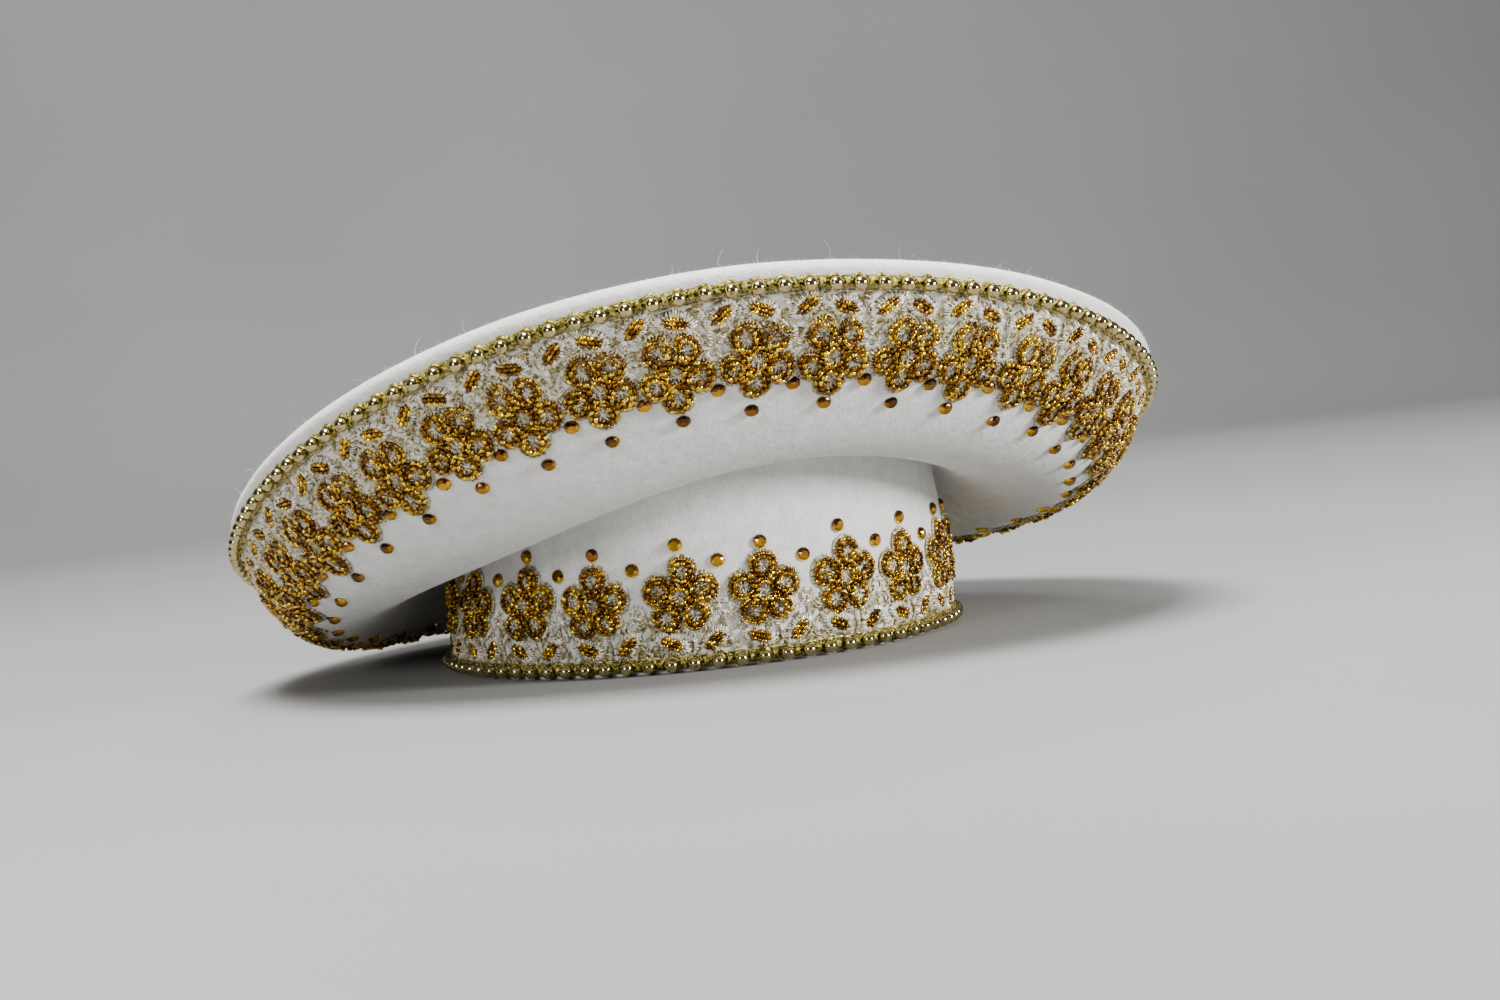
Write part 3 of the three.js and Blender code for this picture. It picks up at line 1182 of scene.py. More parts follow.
@dataclass(frozen=True)
class Layer:
    """A layer of a petal or of a flower's middle.

    It has its distance inside the outline, its number of points or beads, its height and that of its base.
    """

    inset: float
    count: int
    height: float
    base: float = 0.05 * MM


@dataclass(frozen=True)
class Bar:
    """A bar of stitches through places given as shares of the pitch and rises above the leaves."""

    places: tuple[Pair, ...]
    start: Pair | None = None
    width: float = 1.6 * MM


@dataclass(frozen=True)
class Leaf:
    """A leaf of each repeat: its share of the pitch, its direction in degrees, and how much that varies."""

    share: float
    turn: float
    variation: float


@dataclass
class LacePattern:
    """A stretch of the beaded lace: flowers, leaves, eyelets and the bars between them."""

    pitch: float
    flower_height: float
    leaf_height: float
    seed: int
    stretch: float
    bead_radius: float = 0.72 * MM
    thread: float = 0.18 * MM
    cord: float = 0.36 * MM
    middle_scatter: float = 0.3 * MM
    stitch_scatter: float = 0.14 * MM
    arch_scatter: float = 0.1 * MM
    arch_variation: Pair = (-0.1, 0.2)
    stitch_variation: Pair = (0.75, 1.25)
    petals: int = 5
    petal_swing: float = 0.06
    petal_reach: float = 7.5 * MM
    petal_half: Pair = (4.95 * MM, 4.7 * MM)
    petal_taper: float = 0.12
    petal_loops: tuple[Layer, ...] = (
        Layer(0.72 * MM, 13, 1.2 * MM),
        Layer(1.908 * MM, 9, 2.1 * MM),
    )
    loop_squeeze: Pair = (0.06, 0.03)
    loop_scatter: float = 0.1 * MM
    loop_height_scatter: float = 0.08 * MM
    petal_ground: Layer = Layer(0.2 * MM, 14, 1 * MM)
    petal_heart: Layer = Layer(2.52 * MM, 8, 1.3 * MM, 0.6 * MM)
    petal_stitches: Layer = Layer(2.736 * MM, 24, 1.45 * MM)
    petal_slack: Pair = (-0.35, 0.45)
    hem_sweep: float = math.radians(130)
    hem_insets: Pair = (0.3 * MM, -1.1 * MM)
    hem_heights: Triple = (0.95 * MM, 0.75 * MM, 0.15 * MM)
    hem_reach: Pair = (0.6, 1.25)
    hem_stitches: int = 22
    hem_cord: Layer = Layer(-0.5 * MM, 17, 0.5 * MM)
    joint_ring: float = 4.1 * MM
    joint_height: float = 1.9 * MM
    joint_swing: Pair = (1.0, 0.5)
    centre_ring: float = 2.75 * MM
    centre_loop: Layer = Layer(0, 9, 1.8 * MM)
    centre_ground: Layer = Layer(-0.72 * MM, 16, 1.3 * MM)
    centre_heart: Layer = Layer(0.288 * MM, 8, 1.6 * MM, 0.8 * MM)
    centre_stitches: Layer = Layer(0.576 * MM, 16, 1.6 * MM)
    loose_beads: int = 4
    loose_swing: float = 0.42
    loose_reach: Pair = (0.45, 1.15)
    loose_height: Pair = (2.0, 2.5)
    heart_stitches: int = 15
    heart_span: tuple[int, int] = (7, 18)
    heart_pull: float = 0.35
    heart_reach: Pair = (0.4, 0.75)
    heart_level: Pair = (-0.2, 0.35)
    heart_slope: float = 0.25 * MM
    heart_thickness: Pair = (0.85, 1.35)
    leaves: tuple[Leaf, ...] = (Leaf(-0.1, -22, 3), Leaf(0.37, 42, 4))
    leaf_scatter: float = 0.2 * MM
    leaf_half: Pair = (6.6 * MM, 3.8 * MM)
    leaf_ground: Layer = Layer(0, 18, 0.55 * MM)
    leaf_heart: Layer = Layer(0, 12, 0.95 * MM)
    leaf_core: Pair = (4.6 * MM, 2.1 * MM)
    leaf_power: float = 1.3
    leaf_bead_rows: tuple[tuple[float, int], ...] = ((-1.3, 3), (0.0, 4), (1.3, 3))
    leaf_bead_step: float = 1.95 * MM
    leaf_bead_height: float = 1.3 * MM
    leaf_bead_scatter: Pair = (0.12 * MM, 0.12)
    leaf_stitches: int = 54
    leaf_start: Pair = (0.8, 1.1)
    leaf_reach: Pair = (0.7, 1.18)
    leaf_heights: Triple = (1.15 * MM, 1.3 * MM, 0.15 * MM)
    eyelet_share: float = 0.51
    eyelet_drop: float = 4.2 * MM
    eyelet_radius: float = 2.05 * MM
    eyelet_half_width: float = 0.85 * MM
    eyelet_stitches: int = 26
    eyelet_heights: Triple = (0.35 * MM, 1.05 * MM, 0.2 * MM)
    cord_height: float = 0.45 * MM
    bars: tuple[Bar, ...] = (
        Bar(((0.52, 3.2 * MM), (0.56, 0.5 * MM), (0.62, -3 * MM)), (0, -2.05 * MM)),
        Bar(((0.36, 7 * MM), (0.24, 4.5 * MM)), (-1.5 * MM, -1.6 * MM)),
        Bar(((0.7, 6.5 * MM), (0.8, 2.5 * MM)), (1.5 * MM, -1.6 * MM)),
        Bar(((0.12, -4.5 * MM), (0.17, -1 * MM), (0.13, 3 * MM)), width=1.3 * MM),
    )
    bar_spacing: float = 0.6 * MM
    bar_span: Pair = (0.04, 0.96)
    bar_heights: Pair = (0.6 * MM, 1.05 * MM)
    bar_lean: Pair = (0.3, 0.25)
    bar_foot: Pair = (0.6, 1.35)
    bar_reach: Pair = (0.7, 1.3)
    buds: tuple[Pair, ...] = ((0.1, 250), (-0.17, 290))
    bud_drop: float = 9.6 * MM
    bud_length: float = 2.6 * MM
    bud_spread: float = 1.2
    bud_stitches: int = 9
    bud_heights: Triple = (0.8 * MM, 1.1 * MM, 0.3 * MM)
    edge_cords: Pair = (-5.6 * MM, -4.5 * MM)
    edge_height: float = 0.4 * MM
    edge_steps: int = 12
    net_strands: int = 34
    net_patches: int = 13
    net_steps: int = 3
    net_sides: int = 7
    net_low: float = 5 * MM
    net_high: float = 3 * MM
    net_overhang: float = 0.8 * MM
    net_bend: float = 1.4
    net_step: Pair = (1.0, 1.9)
    net_thickness: Pair = (0.6, 0.95)
    net_pad_reach: Pair = (1.1, 3.1)
    net_height: Pair = (0.35, 0.9)
    net_pad_height: Pair = (0.3, 0.45)

    def __post_init__(self) -> None:
        """Starts the random draws and the empty layers."""
        self.draw = np.random.default_rng(self.seed)
        self.stitches, self.satin, self.cords, self.beads = Strands(), Strands(), Strands(), BeadSpots()
        self.silver_pads, self.gold_pads, self.net_pads = Pads(), Pads(), Pads()

    def petal_path(
        self, flower: Array, turn: float, inset: float, count: int = 24, sweep: float = math.pi
    ) -> Array:
        """Follows a petal's outline.

        Args:
            flower: The flower's middle.
            turn: The petal's direction.
            inset: How far inside the petal's outline; outside where negative.
            count: How many points the path has.
            sweep: How far round the outline it goes each way from the petal's tip.

        Returns:
            The path's points.
        """
        t = np.linspace(-sweep, sweep, count, endpoint=sweep < math.pi)
        reach = self.petal_reach + (self.petal_half[0] - inset) * np.cos(t)
        aside = (self.petal_half[1] - inset) * np.sin(t) * (1 + self.petal_taper * np.cos(t))
        out, side = headings(turn)
        return flower + (reach[:, None] * out + aside[:, None] * side) * (1, self.stretch)

    def leaf_path(self, middle: Array, turn: float, half: Pair, count: int) -> Array:
        """Follows a pointed oval.

        Args:
            middle: The leaf's middle.
            turn: The leaf's direction.
            half: Half its length and half its width.
            count: How many points the outline has.

        Returns:
            The outline's points.
        """
        x, y = circle(count).T
        y = half[1] * np.sign(y) * np.abs(y) ** self.leaf_power
        out, side = headings(turn)
        return middle + half[0] * x[:, None] * out + y[:, None] * side

    def fringe(
        self,
        layer: Strands,
        inside: Array,
        outside: Array,
        heights: Sequence[float],
        thickness: float,
        reach: Pair = (0.8, 1.15),
    ) -> None:
        """Adds satin stitches from one path to another, a little uneven.

        Args:
            layer: The layer that the stitches belong to.
            inside: Where each stitch starts.
            outside: Where each stitch ends.
            heights: The heights of its start and end, with one for its middle between them where it arches.
            thickness: Its radius, in threads.
            reach: The least and the greatest share of its full length.
        """
        for start, end in zip(inside, outside):
            finish = start + (end - start) * self.draw.uniform(*reach)
            finish = finish + self.draw.normal(0, self.stitch_scatter, 2)
            path = [(*start, heights[0]), (*finish, heights[-1])]
            if len(heights) == 3:
                middle = (start + finish) / 2 + self.draw.normal(0, self.arch_scatter, 2)
                path.insert(1, (*middle, heights[1] + self.draw.uniform(*self.arch_variation) * MM))
            layer.add(path, self.thread * thickness * self.draw.uniform(*self.stitch_variation))

    def bead_loop(self, path: Array, loop: Layer) -> None:
        """Adds a loop of beads with a little unevenness in it.

        Args:
            path: The loop's outline.
            loop: Its beads and their height.
        """
        t = np.arange(len(path)) * FULL_TURN / len(path)
        middle = path.mean(axis=0)
        oval, corners = self.loop_squeeze
        squeeze = 1 + oval * np.cos(2 * t + self.draw.uniform(0, FULL_TURN)) + corners * np.cos(3 * t)
        path = middle + (path - middle) * squeeze[:, None]
        path = path + self.draw.normal(0, self.loop_scatter, path.shape)
        self.beads.along(path, loop.count, loop.height + self.draw.normal(0, self.loop_height_scatter))

    def heart(self, ring: Array, height: float) -> None:
        """Adds the stitches that fill a loop of beads, from its rim towards its middle.

        Args:
            ring: The loop's inner outline.
            height: The stitches' height.
        """
        count, middle = len(ring), ring.mean(axis=0)
        for step in range(self.heart_stitches):
            place = step * count // self.heart_stitches
            start, across = ring[place], ring[(place + int(self.draw.integers(*self.heart_span))) % count]
            aim = self.heart_pull * middle + (1 - self.heart_pull) * across
            end = start + (aim - start) * self.draw.uniform(*self.heart_reach)
            foot = height + self.draw.uniform(*self.heart_level) * MM
            ends = [(*start, foot), (*end, foot - self.heart_slope)]
            self.stitches.add(ends, self.thread * self.draw.uniform(*self.heart_thickness))

    def scatter(self, flower: Array, turn: float) -> None:
        """Adds single beads on top of a petal's rows, most of them towards the flower's middle.

        Args:
            flower: The flower's middle.
            turn: The petal's direction.
        """
        for bead in range(self.loose_beads):
            swing = turn + self.draw.normal(0, self.loose_swing)
            reach = self.draw.uniform(*self.loose_reach) * self.petal_reach
            place = flower + headings(swing)[0] * reach * (1, self.stretch)
            height = self.draw.uniform(*self.loose_height) * MM
            self.beads.add(place, height, self.draw.uniform(0, FULL_TURN))

    def petal(self, middle: Array, turn: float) -> None:
        """Adds one petal: loops of beads, their padding darkened with painted shade, the stitches in them
        and the stitched hem.

        Args:
            middle: The flower's middle.
            turn: The petal's direction.
        """
        flower = middle + self.draw.normal(0, self.middle_scatter, 2)
        slack = self.draw.uniform(*self.petal_slack) * MM

        def path(inset: float, count: int = 24, sweep: float = math.pi) -> Array:
            """Follows this petal's outline."""
            return self.petal_path(flower, turn, inset + slack, count, sweep)

        ground, heart, stitches = self.petal_ground, self.petal_heart, self.petal_stitches
        for loop in self.petal_loops:
            self.bead_loop(path(loop.inset), loop)
        # Pads under the beads and stitches: amber and silver ground, darkened with painted shade for the
        # gaps between them.
        self.gold_pads.add(path(ground.inset, ground.count), ground.height)
        self.silver_pads.add(path(heart.inset, heart.count), heart.height, heart.base)
        self.heart(path(stitches.inset, stitches.count), stitches.height)
        self.scatter(flower, turn)
        near, far = (path(inset, self.hem_stitches, self.hem_sweep) for inset in self.hem_insets)
        self.fringe(self.stitches, near, far, self.hem_heights, 1.15, self.hem_reach)
        hem = path(self.hem_cord.inset, self.hem_cord.count, self.hem_sweep)
        self.cords.add(raised(hem, self.hem_cord.height), self.cord)

    def flower(self, middle: Array) -> None:
        """Adds a flower: its petals, the beads that join them, and its middle.

        Args:
            middle: The flower's middle.
        """
        for petal in range(self.petals):
            turn = math.pi / 2 + petal * FULL_TURN / self.petals + self.draw.normal(0, self.petal_swing)
            self.petal(middle, turn)
            out = headings(turn + math.pi / self.petals)[0]
            joint = middle + out * self.joint_ring * (1, self.stretch)
            self.beads.add(joint, self.joint_height, turn + self.draw.normal(*self.joint_swing))

        def ring(inset: float, count: int = 16) -> Array:
            """Goes round the flower's middle."""
            return middle + circle(count) * (1, self.stretch) * (self.centre_ring - inset)

        ground, heart, stitches = self.centre_ground, self.centre_heart, self.centre_stitches
        self.bead_loop(ring(self.centre_loop.inset), self.centre_loop)
        # Pads of the middle: amber and silver ground, darkened with painted shade between the beads and
        # stitches.
        self.gold_pads.add(ring(ground.inset, ground.count), ground.height)
        self.silver_pads.add(ring(heart.inset, heart.count), heart.height, heart.base)
        self.heart(ring(stitches.inset, stitches.count), stitches.height)

    def leaf(self, middle: Array, turn: float) -> None:
        """Adds a leaf: rows of beads in a pointed oval of satin stitches.

        Args:
            middle: The leaf's middle.
            turn: The leaf's direction.
        """
        ground, heart, count = self.leaf_ground, self.leaf_heart, self.leaf_stitches
        # Pads of the leaf: silver ground and an amber core, darkened with painted shade between the stitches
        # and beads.
        self.silver_pads.add(self.leaf_path(middle, turn, self.leaf_half, ground.count), ground.height)
        self.gold_pads.add(self.leaf_path(middle, turn, self.leaf_core, heart.count), heart.height)
        core, rim = (self.leaf_path(middle, turn, half, count) for half in (self.leaf_core, self.leaf_half))
        core = middle + (core - middle) * self.draw.uniform(*self.leaf_start, (count, 1))
        self.fringe(self.satin, core, rim, self.leaf_heights, 1.55, self.leaf_reach)
        out, side = headings(turn)
        scatter, swing = self.leaf_bead_scatter
        for row, count in self.leaf_bead_rows:
            for step in range(count):
                along = (step - (count - 1) / 2) * self.leaf_bead_step + self.draw.normal(0, scatter)
                place = middle + out * along + side * row * MM
                self.beads.add(place, self.leaf_bead_height, turn + self.draw.normal(0, swing))

    def eyelet(self, middle: Array) -> None:
        """Adds a small ring of satin stitches over a cord.

        Args:
            middle: The ring's middle.
        """
        ring, half = circle(self.eyelet_stitches), self.eyelet_half_width
        near, far = (middle + ring * (self.eyelet_radius + edge) for edge in (-half, half))
        self.fringe(self.satin, near, far, self.eyelet_heights, 1.5)
        cord = raised(middle + ring[::2] * self.eyelet_radius, self.cord_height)
        self.cords.add(cord, self.cord * 1.5, closed=True)

    def bar(self, points: Sequence[Sequence[float]], width: float) -> None:
        """Adds a bar of stitches worked over a cord.

        Args:
            points: The flat points that it goes through.
            width: The bar's width.
        """
        path = smooth_path(points, 4 * len(points))
        self.cords.add(raised(path, self.cord_height), self.cord * 1.4)
        length = distances_along(path)[-1]
        shares = np.linspace(*self.bar_span, max(4, int(length / self.bar_spacing)))
        places = at_lengths(path, shares * length)
        ahead = unit(np.gradient(places, axis=0))
        side = np.column_stack([-ahead[:, 1], ahead[:, 0]]) * width / 2
        lean = ahead * self.draw.normal(*self.bar_lean, (len(places), 1)) * MM
        uneven = self.draw.uniform(*self.bar_foot, (len(places), 1))
        feet, tips = places - side * uneven - lean, places + side + lean
        self.fringe(self.satin, feet, tips, self.bar_heights, 1.3, self.bar_reach)

    def bud(self, middle: Array, turn: float) -> None:
        """Adds a small fan of stitches.

        Args:
            middle: The fan's foot.
            turn: Its direction.
        """
        foot = np.repeat(middle[None], self.bud_stitches, axis=0)
        spread = turn + np.linspace(-self.bud_spread, self.bud_spread, self.bud_stitches)
        tips = middle + self.bud_length * np.column_stack([np.cos(spread), np.sin(spread)])
        self.fringe(self.satin, foot, tips, self.bud_heights, 1.3)

    def net(self, start: float) -> None:
        """Adds the fine tangled net between the flowers and the inner edge, for one repeat.

        Args:
            start: Where the repeat starts.
        """
        low, high = self.leaf_height - self.net_low, self.flower_height - self.net_high
        corner, lowest = np.array([start, low]), low - self.net_overhang
        for strand in range(self.net_strands):
            place = corner + self.draw.uniform(size=2) * (self.pitch, high - low)
            turn, bend = self.draw.uniform(0, FULL_TURN), self.draw.uniform(-self.net_bend, self.net_bend)
            path = [(*place, self.net_height[0] * MM)]
            for step in range(self.net_steps):
                place = place + headings(turn)[0] * self.draw.uniform(*self.net_step) * MM
                place[1] = max(place[1], lowest)
                turn += bend
                path.append((*place, self.draw.uniform(*self.net_height) * MM))
            self.cords.add(path, self.cord * self.draw.uniform(*self.net_thickness))
        # Low dark patches of net ground: partly the dense net, partly painted shade between its threads.
        for patch in range(self.net_patches):
            middle = corner + self.draw.uniform(size=2) * (self.pitch, high - low - self.net_high)
            reach = self.draw.uniform(*self.net_pad_reach, self.net_sides) * MM
            outline = middle + reach[:, None] * circle(self.net_sides)
            outline[:, 1] = np.maximum(outline[:, 1], lowest)
            self.net_pads.add(outline, self.draw.uniform(*self.net_pad_height) * MM)

    def edging(self, start: float) -> None:
        """Adds the straight cords along the lace's inner edge, for one repeat.

        Args:
            start: Where the repeat starts.
        """
        x = start + (np.arange(self.edge_steps + 1) / self.edge_steps - 0.5) * self.pitch
        for rise in self.edge_cords:
            line = np.column_stack([x, np.full(len(x), self.leaf_height + rise)])
            self.cords.add(raised(line, self.edge_height), self.cord)

    def build(self, repeats: int) -> None:
        """Builds the pattern, some repeats long so that neighbours differ.

        Args:
            repeats: How many repeats the pattern holds.
        """
        low, high = self.leaf_height, self.flower_height
        for start in np.arange(repeats) * self.pitch:

            def at(share: float, height: float) -> Array:
                """Returns a place in this repeat, by its share of the pitch."""
                return np.array([start + share * self.pitch, height])

            self.flower(at(0, high) + self.draw.normal(0, self.middle_scatter, 2))
            for leaf in self.leaves:
                middle = at(leaf.share, low) + self.draw.normal(0, self.leaf_scatter, 2)
                self.leaf(middle, math.radians(leaf.turn + self.draw.normal(0, leaf.variation)))
            eyelet = at(self.eyelet_share, high - self.eyelet_drop)
            self.eyelet(eyelet)
            for bar in self.bars:
                ends = [] if bar.start is None else [eyelet + bar.start]
                self.bar(ends + [at(share, low + rise) for share, rise in bar.places], bar.width)
            for share, turn in self.buds:
                self.bud(at(share, high - self.bud_drop), math.radians(turn))
            self.edging(start)
            self.net(start)


# The hat's parts


@dataclass
class FeltMap:
    """A flat map of a stretch of felt, from which trims find their places on it."""

    face: FeltFace
    length: float
    low: float
    high: float
    angle_at: Callable[[Array], Array]
    turn: int = 1
    column: float = 4 * MM
    row: float = 1.2 * MM
    margin: float = 40 * MM

    def build(self, name: str) -> Object:
        """Makes the map's mesh, a little longer than one turn so that nothing is cut at its ends.

        Args:
            name: The object's name.

        Returns:
            The map: its UV layer is the flat place, and its vertices store the felt's directions.
        """
        columns = int((self.length + 2 * self.margin) / self.column)
        rows = int((self.high - self.low) / self.row) + 2
        x = np.linspace(-self.margin, self.length + self.margin, columns)
        y = np.linspace(self.low, self.high, rows)
        points = self.face.block.placed(self.face.points(self.angle_at(x), y))
        around, along = unit(np.gradient(points, axis=0)), unit(np.gradient(points, axis=1))
        handed = self.turn if self.face.face is Face.COLLAR else -self.turn
        off_felt = unit(np.cross(around, along)) * handed
        vectors = {"points": points, "around": around, "along": along, "off_felt": off_felt}
        vectors = {label: values.reshape(-1, 3) for label, values in vectors.items()}
        made = mesh_object(name, faces=grid_faces(rows, columns, closed=False), **vectors)
        flat = np.stack(np.meshgrid(x, y, indexing="ij"), axis=-1).reshape(-1, 2)
        corners = np.zeros(len(made.data.loops), int)
        made.data.loops.foreach_get("vertex_index", corners)
        layer = made.data.uv_layers.new(name="flat")
        layer.data.foreach_set("uv", flat[corners].astype(np.float32).ravel())
        return helper(made)


@dataclass
class Trees:
    """The geometry trees that the trims share."""

    strands: GeometryTree
    beads: GeometryTree
    patches: GeometryTree
    fibres: GeometryTree


def settle(piece: Object, slot: Slot, *nodes: str) -> None:
    """Joins a finished piece to the hat's body and reports it.

    Args:
        piece: The piece, in its place.
        slot: The record's slot for its finish; not used.
        nodes: The CAD nodes that it stands for.
    """
    for label in ("flat_place", "heading", "thickness"):
        if label in piece.data.attributes:
            piece.data.attributes.remove(piece.data.attributes[label])
    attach(piece, "root")
    if nodes:
        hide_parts(*nodes)
    piece.data.calc_loop_triangles()
    LOG.info("%s: %d triangles", piece.name, len(piece.data.loop_triangles))


@dataclass
class FeltBody:
    """The felt shell: a closed top, a turned edge, the halo's underside, the crease and the collar."""

    block: HatBlock
    segments: int = 176
    top_rows: int = 14
    top_spacing: float = 0.8
    edge_rows: int = 16
    underside_rows: int = 44
    fillet_rows: int = 7
    wall_rows: int = 18
    underside_end: float = 0.03
    lip: float = 0.6 * MM
    halo_lace_share: float = 0.45
    collar_lace_share: float = 0.585
    nap_under_lace: float = 0.12
    edge_nap: float = 4.0
    bare_below: float = 9 * MM
    weld_distance: float = 0.002 * MM

    def outer_rows(self) -> tuple[Array, Array]:
        """Places the outer face's points.

        Returns:
            The points, by row from the top's middle to the collar's edge, and by angle; and the nap of each
            row.
        """
        block = self.block
        angle = np.linspace(0, FULL_TURN, self.segments, endpoint=False)
        fractions = np.linspace(0, 1, self.top_rows)[:-1] ** self.top_spacing
        rows = [block.top_point(angle, fraction) for fraction in fractions]
        edge = smooth_path(block.edge_knots, self.edge_rows)[::-1]
        nap = [1.0] * len(rows) + [self.edge_nap] * len(edge)
        rows += [block.corner_point(angle, out, up) for out, up in edge]
        t = np.linspace(1, self.underside_end, self.underside_rows)[1:]
        rows += list(block.underside(angle, t).transpose(1, 0, 2))
        nap += [self.nap_under_lace if place > 1 - self.halo_lace_share else 1.0 for place in t]
        start, crease = rows[-1], block.crease_point(angle)
        ends = block.wall(angle, np.array([0.0, 1.0]))
        share = 1 - float(np.mean(block.crease_fillet / np.linalg.norm(ends[:, 1] - ends[:, 0], axis=1)))
        last = block.wall(angle, np.array([share]))[:, 0]
        for t in np.linspace(0, 1, self.fillet_rows + 2)[1:]:
            rows.append(start * (1 - t) ** 2 + 2 * crease * t * (1 - t) + last * t**2)
            nap.append(1.0)
        t = np.linspace(share, float(self.lip / np.mean(crease[:, 2])), self.wall_rows)[1:]
        rows += list(block.wall(angle, t).transpose(1, 0, 2))
        nap += [self.nap_under_lace if place < self.collar_lace_share else 1.0 for place in t]
        return np.array(rows), np.array(nap)

    def shell(self, outer: Array) -> Array:
        """Adds the collar's lower edge and the inner face to the outer face.

        Args:
            outer: The outer face's points, by row and angle.

        Returns:
            The shell's points, by row and angle, in their place.
        """
        around = np.roll(outer, -1, axis=1) - np.roll(outer, 1, axis=1)
        normal = np.cross(np.gradient(outer, axis=0), around)
        normal[0] = self.block.halo_frame()[2]
        normal = unit(normal)
        felt = self.block.felt
        feet = np.array([outer[-1] - normal[-1] * depth for depth in (self.lip / 2, felt - self.lip / 2)])
        feet[..., 2] = 0
        keep = np.arange(len(outer) - 1, -1, -2)
        inner = outer[keep] - normal[keep] * felt
        inner[-1] = outer[0] - normal[0] * felt
        return self.block.placed(np.concatenate([outer, feet, inner]))

    def build(self) -> Object:
        """Makes the shell, with the amount of its loose nap stored.

        Returns:
            The shell, dressed.
        """
        outer, nap = self.outer_rows()
        rows = self.shell(outer)
        columns = rows.transpose(1, 0, 2).reshape(-1, 3)
        nap = np.concatenate([nap, np.zeros(len(rows) - len(nap))])
        nap = np.tile(nap, self.segments) * (columns[:, 2] > self.bare_below)
        made = mesh_object("felt", columns, grid_faces(len(rows), self.segments, closed=True), nap=nap)
        work = bmesh.new()
        work.from_mesh(made.data)
        bmesh.ops.remove_doubles(work, verts=work.verts, dist=self.weld_distance)
        bmesh.ops.dissolve_degenerate(work, edges=work.edges, dist=self.weld_distance)
        bmesh.ops.recalc_face_normals(work, faces=work.faces)
        work.to_mesh(made.data)
        work.free()
        made.data.materials.append(FeltFinish().material())
        settle(made, Slot.FELT, "felt_body")
        return made


@dataclass(frozen=True)
class Fibre:
    """The sizes of one kind of loose fibre, and how it lies on the felt."""

    name: str
    length: float
    curl: float
    steps: int
    density: float
    lean: float
    spread: float
    seed: int
    sides: int = 3
    thickness: float = 0.045 * MM
    taper: float = 0.5

    def middle(self, t: float) -> Array:
        """Returns the fibre's middle at a share of its length."""
        return np.array([self.curl * t**2, 0.25 * self.curl * math.sin(4 * t), self.length * t])

    def shape(self) -> Object:
        """Makes one curved fibre that stands on the origin and ends in a point.

        Returns:
            The fibre, a helper.
        """
        points: list = []
        for t in np.arange(self.steps) / self.steps:
            section = raised(circle(self.sides), 0.0) * self.thickness * (1 - self.taper * t)
            points.extend(self.middle(t) + section)
        points.append(self.middle(1))
        tip = len(points) - 1
        faces = tube_faces(self.steps, self.sides) + fan_faces(tip - self.sides, self.sides, tip)
        faces.append(tuple(range(self.sides - 1, -1, -1)))
        return helper(mesh_object(f"{self.name}_shape", points, faces))


@dataclass
class LooseFibres:
    """The felt's nap: short fibres all over, and a few long stray ones."""

    felt: Object
    trees: Trees
    kinds: tuple[Fibre, ...] = (
        Fibre("felt_nap", 1.5 * MM, 0.7 * MM, steps=1, density=76000, lean=1.1, spread=0.6, seed=3),
        Fibre("felt_stray_fibres", 6.5 * MM, 4.5 * MM, steps=7, density=1700, lean=1.0, spread=0.7, seed=11),
    )

    def build(self) -> None:
        """Scatters each kind of fibre and gives it its finish."""
        finish = FibreFinish().material()
        for kind in self.kinds:
            names = ("density", "lean", "spread", "seed")
            values = {name.capitalize(): getattr(kind, name) for name in names}
            values |= {"Felt": self.felt, "Fibre": kind.shape(), "Material": finish}
            settle(self.trees.fibres.grow(kind.name, values), Slot.FELT)


@dataclass(frozen=True)
class LaceRun:
    """How a run of lace and its stones go round the hat."""

    block: HatBlock
    face: Face
    flowers: int
    first: float
    turn: int
    pitch: float

    def angle_at(self, x: Array) -> Array:
        """Returns the angles from the front at distances along the run."""
        return math.radians(self.first) + self.turn * FULL_TURN * x / (self.flowers * self.pitch)

    def felt_map(self, name: str, low: float, high: float) -> Object:
        """Makes the flat map of the felt under the run, between two distances along the felt."""
        face, length = FeltFace(self.block, self.face), self.flowers * self.pitch
        return FeltMap(face, length, low, high, self.angle_at, self.turn).build(name)


@dataclass(frozen=True)
class Sewing:
    """How unevenly beads are sewn on: their greatest turns, their spread in size, and their shading."""

    swing: float
    roll: float
    spread: float
    seed: int
    smooth: bool = True

    def values(self) -> dict[str, object]:
        """Returns the values of the bead tree's inputs."""
        return {name.capitalize(): value for name, value in asdict(self).items()}


